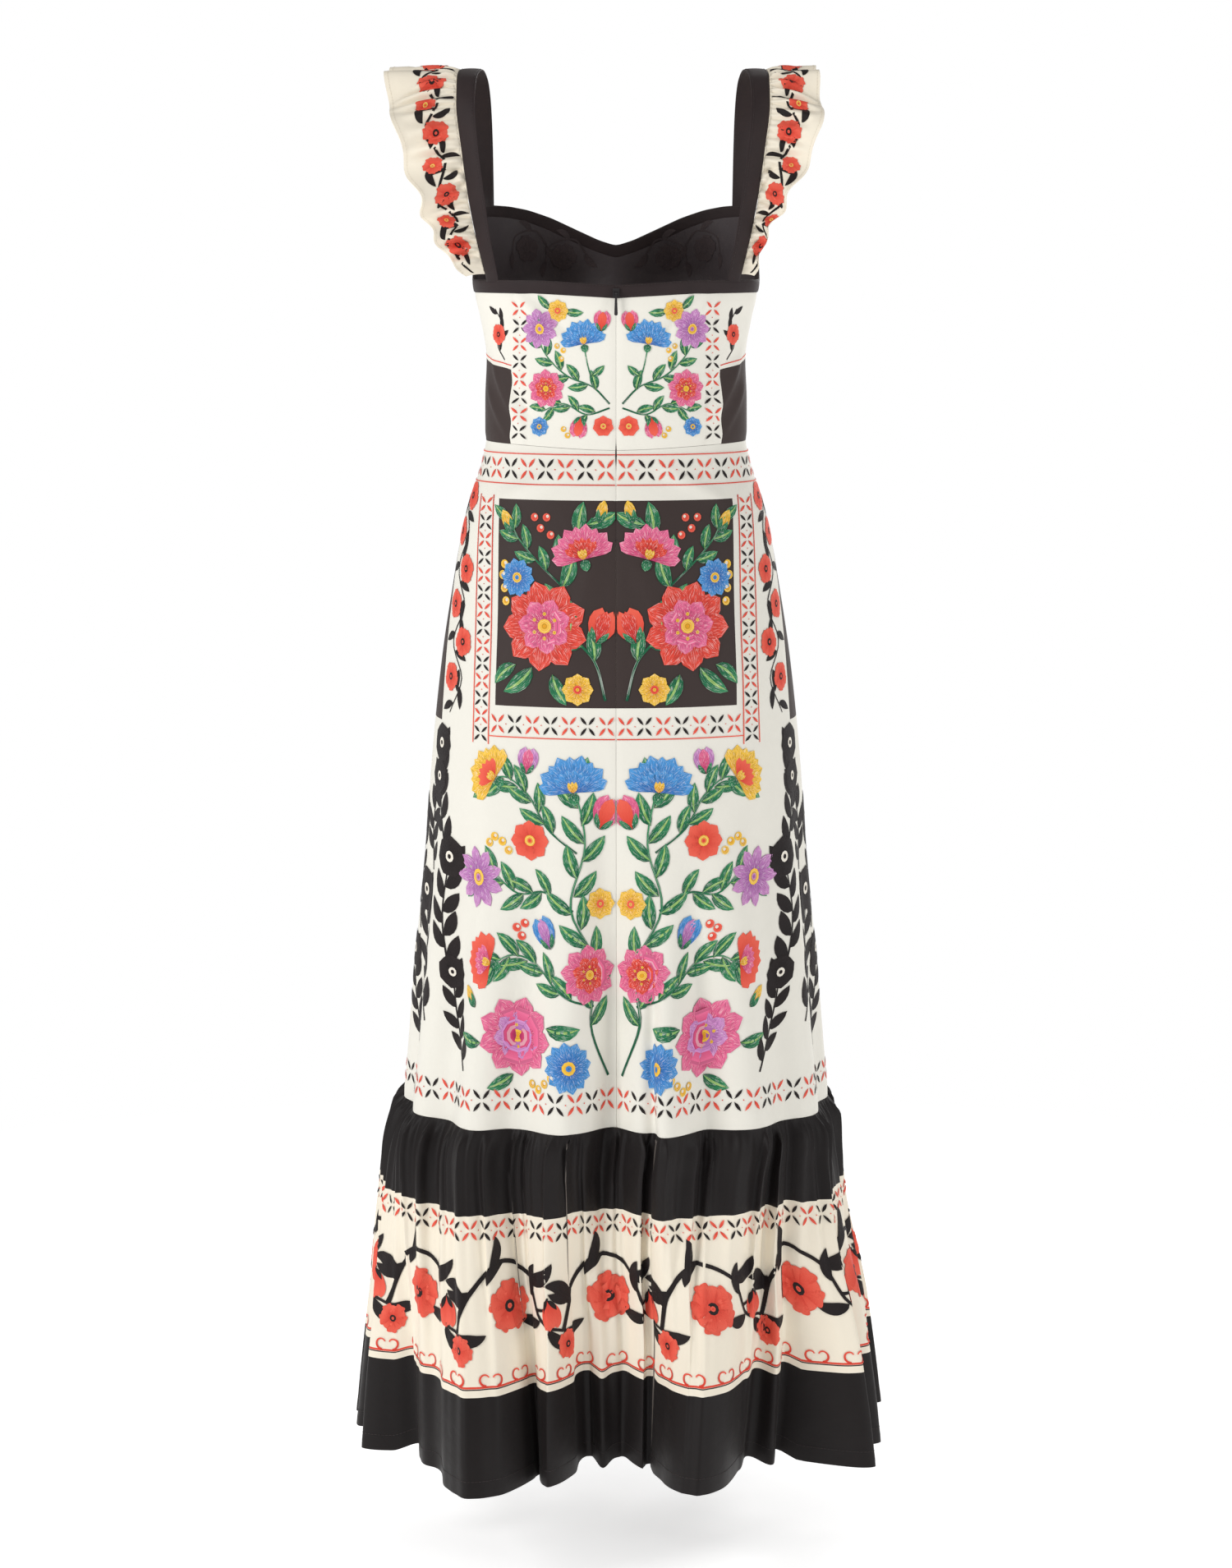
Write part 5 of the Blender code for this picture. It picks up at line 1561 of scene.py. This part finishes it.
def tier_face(count, share):
    """Outer face of the gathered tier: place in gathers, share of the way down."""
    count, share = np.broadcast_arrays(np.asarray(count, float), np.asarray(share, float))
    turn = gather_angle(count)
    half_width, back, front, square, swing = (curve_value(TIER_SECTIONS, share, c) for c in range(1, 6))
    radius = ring_radius(turn, half_width, back, front, square)
    level = np.full(turn.shape, TIER_SEAM_Z)
    out = np.zeros_like(turn)
    lean = np.zeros_like(turn)
    for centre, reach, half_turn, _, tilt in SKIRT_FOLDS:
        height = reach * bump(turn, centre, half_turn)
        out += height
        lean += tilt * height
    fade = 1.0 - smooth_step(share / 0.8)
    out = (out + crease_reach(turn, level) * (1.0 - smooth_step(share / 0.2))) * fade
    lean = lean * fade
    growth = smooth_step(share / 1.15) * 0.72 + 0.28 * share
    fold = np.zeros_like(turn)
    for centre, reach, fold_width, tilt in TIER_FOLDS:
        height = reach * bump(turn, centre, fold_width)
        fold += height
        out += height * growth
        lean += tilt * height * growth
    rise = smooth_step(share / 0.05) * (1.0 - FOLD_FADE * smooth_step((share - 0.12) / 0.88))
    uneven = 0.7 + 0.3 * np.sin(count * 1.9) + 0.25 * np.sin(count * 0.77 + 1.3)
    wave = np.cos(2.0 * np.pi * count) + 0.28 * np.cos(4.0 * np.pi * count + 0.6)
    gather = GATHER_REACH * uneven * (0.12 + 0.88 * rise) * wave
    out += gather
    lean += FOLD_SHEAR * np.sin(count * 0.61 + 0.4) * gather
    near_seam = smooth_step(share / 0.02) * np.exp(-((np.maximum(0.0, share) / 0.17) ** 1.5))
    small = np.cos(2.0 * np.pi * count * 3.0 + 1.1 * np.sin(count * 1.3))
    out += 0.0015 * near_seam * small * (0.7 + 0.3 * np.sin(count * 2.7 + 1.0))
    long_ones = 0.5 + 0.5 * np.sin(count * 0.83 + 0.4)
    out += 0.0016 * long_ones * np.cos(2.0 * np.pi * count * 2.0 + 2.0) * np.exp(-((share - 0.3) / 0.3) ** 2)
    lift = VALLEY_LIFT * (1.0 - smooth_step(fold / FULL_FOLD)) * share
    z = TIER_SEAM_Z - SEAM_GAP - share * TIER_LENGTH + lift
    point = ring_point(turn, radius, out, lean, z)
    point[..., 0] += swing
    return point


def on_tier(count, share):
    return face_and_normal(tier_face, count, share, 0.03, -0.004)


def tier_ground(finish, across, up):
    """Black, cream and black bands, with thin lines where they meet."""
    cream = (up > BLACK_TOP) * (up < CREAM_FOOT)
    colour = finish.blend(cream, DEEP_BLACK, WARM_CREAM)
    red = (up > CREAM_FOOT - 0.0098) * (up < CREAM_FOOT - 0.0078)
    colour = finish.blend(red, colour, srgb(222, 74, 56))
    dark = (up > CREAM_FOOT - 0.0076) * (up < CREAM_FOOT - 0.0064)
    return finish.blend(dark, colour, SOFT_BLACK)


tier_sateen = sateen("tier_sateen", tier_ground, 0.06, (0.92, 0.89, 0.84, 1.0))
tier_wrong = sateen("wrong_side_of_tier", srgb(120, 112, 106), 0.0, (0.93, 0.91, 0.88, 1.0))
half = GATHERS_PER_HALF / 2
end_gap = 0.5 * SEAM_GAP / 0.22 * GATHERS_PER_HALF / math.pi
tier_levels = np.linspace(0.0, 1.0, 33)
TIER_ROWS = 56
TIER_COLUMNS = GATHERS_PER_HALF * 14 + 1
BORDER_PITCH, HOOK_PITCH = 0.14, 0.035
BORDER_FRONDS = (
    (-0.058, 0.168, -170.0, 0.044, 90.0),
    (-0.05, 0.15, -46.0, 0.04, -80.0),
    (-0.03, 0.13, 128.0, 0.034, 80.0),
    (-0.012, 0.124, -80.0, 0.032, 70.0),
    (0.022, 0.14, 70.0, 0.044, 90.0),
    (0.03, 0.158, -150.0, 0.034, -70.0),
    (0.04, 0.18, -60.0, 0.036, -70.0),
    (0.052, 0.186, 20.0, 0.038, 80.0),
    (-0.07, 0.19, 60.0, 0.036, 60.0),
)
for name, start in (("back", -half), ("front", half)):
    stop = start + GATHERS_PER_HALF
    turns = np.linspace(start, stop, 1201)
    cloth = FlatCloth(tier_face, turns, tier_levels, start + half, 0.9, True)
    low, high = start + end_gap, stop - end_gap
    shares = np.linspace(0.0, 1.0, TIER_ROWS) ** 1.25
    count = np.broadcast_to(np.linspace(low, high, TIER_COLUMNS)[None, :], (TIER_ROWS, TIER_COLUMNS))
    share = np.broadcast_to(shares[:, None], count.shape)
    points, normals = on_tier(count, share)
    hem = 0.0003 * smooth_step((share - 0.965) / 0.006)
    outer = points + normals * (hem - 0.0003)[..., None]
    inner = outer - normals * (CLOTH + hem)[..., None]
    cut = np.stack((cloth.across_at(count, share), share * TIER_LENGTH), axis=-1)
    tier = shell("cloth_tier_" + name, outer, inner, cut, tier_sateen, tier_wrong)
    wear(tier, "tier_cotton", "tier_" + name)
    hem_row = int(np.argmin(np.abs(shares - HEM_STITCH_SHARE)))
    hem_line = (outer + normals * STITCH_LIFT)[hem_row, 2:-2]
    sew("stitches_hem_" + name, [hem_line], black_thread, "tier_cotton", 0.0036, 0.0026)

    reach = float(cloth.lengths[len(tier_levels) // 2][-1])
    border = Print(2)
    border.crosses((-reach, BLACK_TOP + 0.0135), (reach, BLACK_TOP + 0.0135), 0.019)
    repeats = int(math.ceil(reach / BORDER_PITCH))
    for k in range(-repeats, repeats + 1):
        x = k * BORDER_PITCH
        wave = ((-0.07, 0.19), (-0.05, 0.15), (-0.016, 0.124), (0.022, 0.14), (0.04, 0.178), (0.07, 0.19))
        border.stem([(x + aside, y) for aside, y in wave], 0.0052, "black", 8)
        border.daisy(x - 0.006, 0.166, 0.022, "coral", "black", 5, 12.0 + 9.0 * k, 0.98)
        border.tulip(x + 0.052, 0.158, 12.0, 0.03, "coral", "coral", "black")
        border.stem(((x + 0.034, 0.17), (x + 0.046, 0.168), (x + 0.053, 0.156)), 0.0034, "black", 5)
        border.daisy(x + 0.076, 0.204, 0.013, "coral", "black", 5, 14.0 * k, 0.98)
        border.fronds(x, BORDER_FRONDS, 0.34)
    hooks = int(reach / HOOK_PITCH)
    for k in range(-hooks - 1, hooks + 2):
        for flip in (1.0, -1.0):
            border.hook(k * HOOK_PITCH + flip * 0.0012, CREAM_FOOT - 0.0095, flip, -0.0125, 0.0022, "coral")

    def place_on_tier(across, down):
        share = np.clip(down / TIER_LENGTH, 0.0, 1.0)
        points, normals = on_tier(np.clip(cloth.turn_at(across, share), low, high), share)
        return points + normals * 0.0001, normals

    wear(lay_print("print_tier_" + name, border, place_on_tier, -reach, reach), "tier_cotton")


# ZIP
# An invisible zip in the centre-back seam: black tape behind it, a small dark slider at
# the top and a slim drop-shaped pull that hangs from it.

zip_enamel = fine_grained("zip_enamel", (40, 38, 40), (70, 66, 66), 420.0, 3.0, 0.4, (0.3, 0.15), metallic=0.5)
hook_metal = fine_grained("hook_metal", (120, 118, 116), (176, 172, 168), 700.0, 2.0, 1.0, (0.28, 0.15), metallic=0.9)
for node in ("zip_slider", "zip_pull"):
    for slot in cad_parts[node].material_slots:
        slot.material = zip_enamel

ZIP_END_Z = -0.44
turn, z = np.meshgrid(np.linspace(-6.2, 6.2, 9), np.linspace(-0.2036, ZIP_END_Z, 50))
tape = body_shell("cloth_zip_tape", turn, z, back_cloth, *black, -0.0026, 0.0008)
wear(tape, "black_lining", "zip_tape")

heights = np.linspace(-0.213, ZIP_END_Z + 0.004, 60)
points, normals = on_body(np.zeros(60), heights)
sew("zip_teeth", [points - normals * 0.0044], zip_enamel, "zip_metal", 0.0014, 0.0026, 0.0009, "teeth")
tack_turns = np.linspace(-1.0, 1.0, 5)
points, normals = on_body(tack_turns, np.full(5, ZIP_END_Z + 0.002))
sew("zip_end_tack", [points - normals * 0.0004], black_thread, "black_cotton", 0.0004, 0.0011, 0.0003)


def wire(name, path, radius, sides=8):
    """Round wire through a few places, its ends closed."""
    path = np.array(path, float)
    along = unit(np.gradient(path, axis=0))
    first = unit(np.cross(along, np.array((0.0, 0.3, 1.0))))
    second = np.cross(along, first)
    turn = np.linspace(0.0, 2.0 * math.pi, sides, endpoint=False)
    ring = first[:, None, :] * np.cos(turn)[None, :, None] + second[:, None, :] * np.sin(turn)[None, :, None]
    points = (path[:, None, :] + radius * ring).reshape(-1, 3)
    faces = [
        (k * sides + i, k * sides + (i + 1) % sides, (k + 1) * sides + (i + 1) % sides, (k + 1) * sides + i)
        for k in range(len(path) - 1)
        for i in range(sides)
    ]
    faces += [tuple(range(sides))[::-1], tuple(range(len(points) - sides, len(points)))]
    mesh = new_mesh(name, points, faces, [hook_metal])
    face_outwards(mesh)
    return wear(show(name, mesh), "zip_metal")


HOOK_Z = -0.2062
HOOK_DEPTH = float(on_body(np.array(0.0), np.array(HOOK_Z))[0][1]) - 0.0002
bend = np.linspace(-0.5 * math.pi, 0.5 * math.pi, 7)
wire(
    "zip_hook",
    [(-0.0052, HOOK_DEPTH + 0.001, HOOK_Z + 0.0009), (-0.0014, HOOK_DEPTH, HOOK_Z + 0.0009)]
    + [(-0.0004 + 0.0009 * math.cos(a), HOOK_DEPTH - 0.0002, HOOK_Z - 0.0009 * math.sin(a)) for a in bend]
    + [(-0.0014, HOOK_DEPTH, HOOK_Z - 0.0009), (-0.004, HOOK_DEPTH + 0.001, HOOK_Z - 0.0009)],
    0.00036,
)
wire(
    "zip_eye",
    [(0.0042, HOOK_DEPTH + 0.0012, HOOK_Z + 0.0016)]
    + [(0.0014 - 0.0016 * math.cos(a), HOOK_DEPTH + 0.0001, HOOK_Z - 0.0016 * math.sin(a)) for a in bend]
    + [(0.0042, HOOK_DEPTH + 0.0012, HOOK_Z - 0.0016)],
    0.0003,
)


# STUDIO
# Pale floor and soft light from all round, as for a plain product photograph.

bpy.ops.mesh.primitive_circle_add(vertices=96, radius=30.0, fill_type="NGON", location=(0.0, 0.0, 0.0))
floor = bpy.context.object
floor.name = "studio_floor"
floor.data.transform(Matrix.Translation((0.0, 0.0, -1.43)))
pale = Finish("pale_floor")
distance = pale.node("ShaderNodeVectorMath", {"operation": "LENGTH"}, {0: pale.place()}).out("Value")
pale.surface((0.93, 0.93, 0.93, 1.0), 0.9, glow=(1.0, 1.0, 1.0, 1.0), glow_strength=0.55)
glow = pale.node("ShaderNodeEmission", None, {"Color": (1.0, 1.0, 1.0, 1.0), "Strength": 1.0})
fade = {"Value": distance, "From Min": 1.6, "From Max": 2.4, "To Min": 0.0, "To Max": 1.0}
far = pale.node("ShaderNodeMapRange", None, fade).out(0)
mixed = pale.node("ShaderNodeMixShader", None, {0: far})
pale.tree.links.new(pale.shader.outputs[0], mixed.node.inputs[1])
pale.tree.links.new(glow.node.outputs[0], mixed.node.inputs[2])
pale.tree.links.new(mixed.node.outputs[0], pale.tree.nodes["Material Output"].inputs["Surface"])
floor.data.materials.append(pale.material)

world = bpy.data.worlds.new("studio")
bpy.context.scene.world = world
world.use_nodes = True
sky = world.node_tree.nodes
seen = sky.new("ShaderNodeLightPath")
level = sky.new("ShaderNodeMapRange")
level.inputs["To Min"].default_value = 0.34
level.inputs["To Max"].default_value = 1.0
world.node_tree.links.new(seen.outputs["Is Camera Ray"], level.inputs["Value"])
world.node_tree.links.new(level.outputs[0], sky["Background"].inputs["Strength"])
sky["Background"].inputs["Color"].default_value = (1.0, 1.0, 1.0, 1.0)
bpy.context.scene.view_settings.view_transform = "Standard"


def soft_box(name, place, aim, size, power):
    data = bpy.data.lights.new(name, "AREA")
    data.shape = "RECTANGLE"
    data.size, data.size_y = size
    data.energy = power
    lamp = show(name, data)
    lamp.location = place
    lamp.rotation_euler = (Vector(aim) - Vector(place)).to_track_quat("-Z", "Y").to_euler()


soft_box("light_left", (-3.0, -2.2, 0.9), (0.0, 0.0, -0.7), (1.2, 2.0), 84.0)
soft_box("light_right", (3.2, -1.8, 0.3), (0.0, 0.0, -0.7), (1.0, 2.0), 36.0)
soft_box("light_front", (1.4, 3.4, 0.8), (0.0, 0.0, -0.7), (1.4, 2.0), 60.0)

camera_data = bpy.data.cameras.new("camera")
camera = show("camera", camera_data)
camera.location = (0.0, -3.8, -0.139)
aim = Vector((0.0, 0.0, -0.6849))
camera.rotation_euler = (aim - camera.location).to_track_quat("-Z", "Y").to_euler()
camera_data.sensor_fit = "VERTICAL"
camera_data.sensor_height = 36.0
camera_data.lens = 90.495
bpy.context.scene.camera = camera
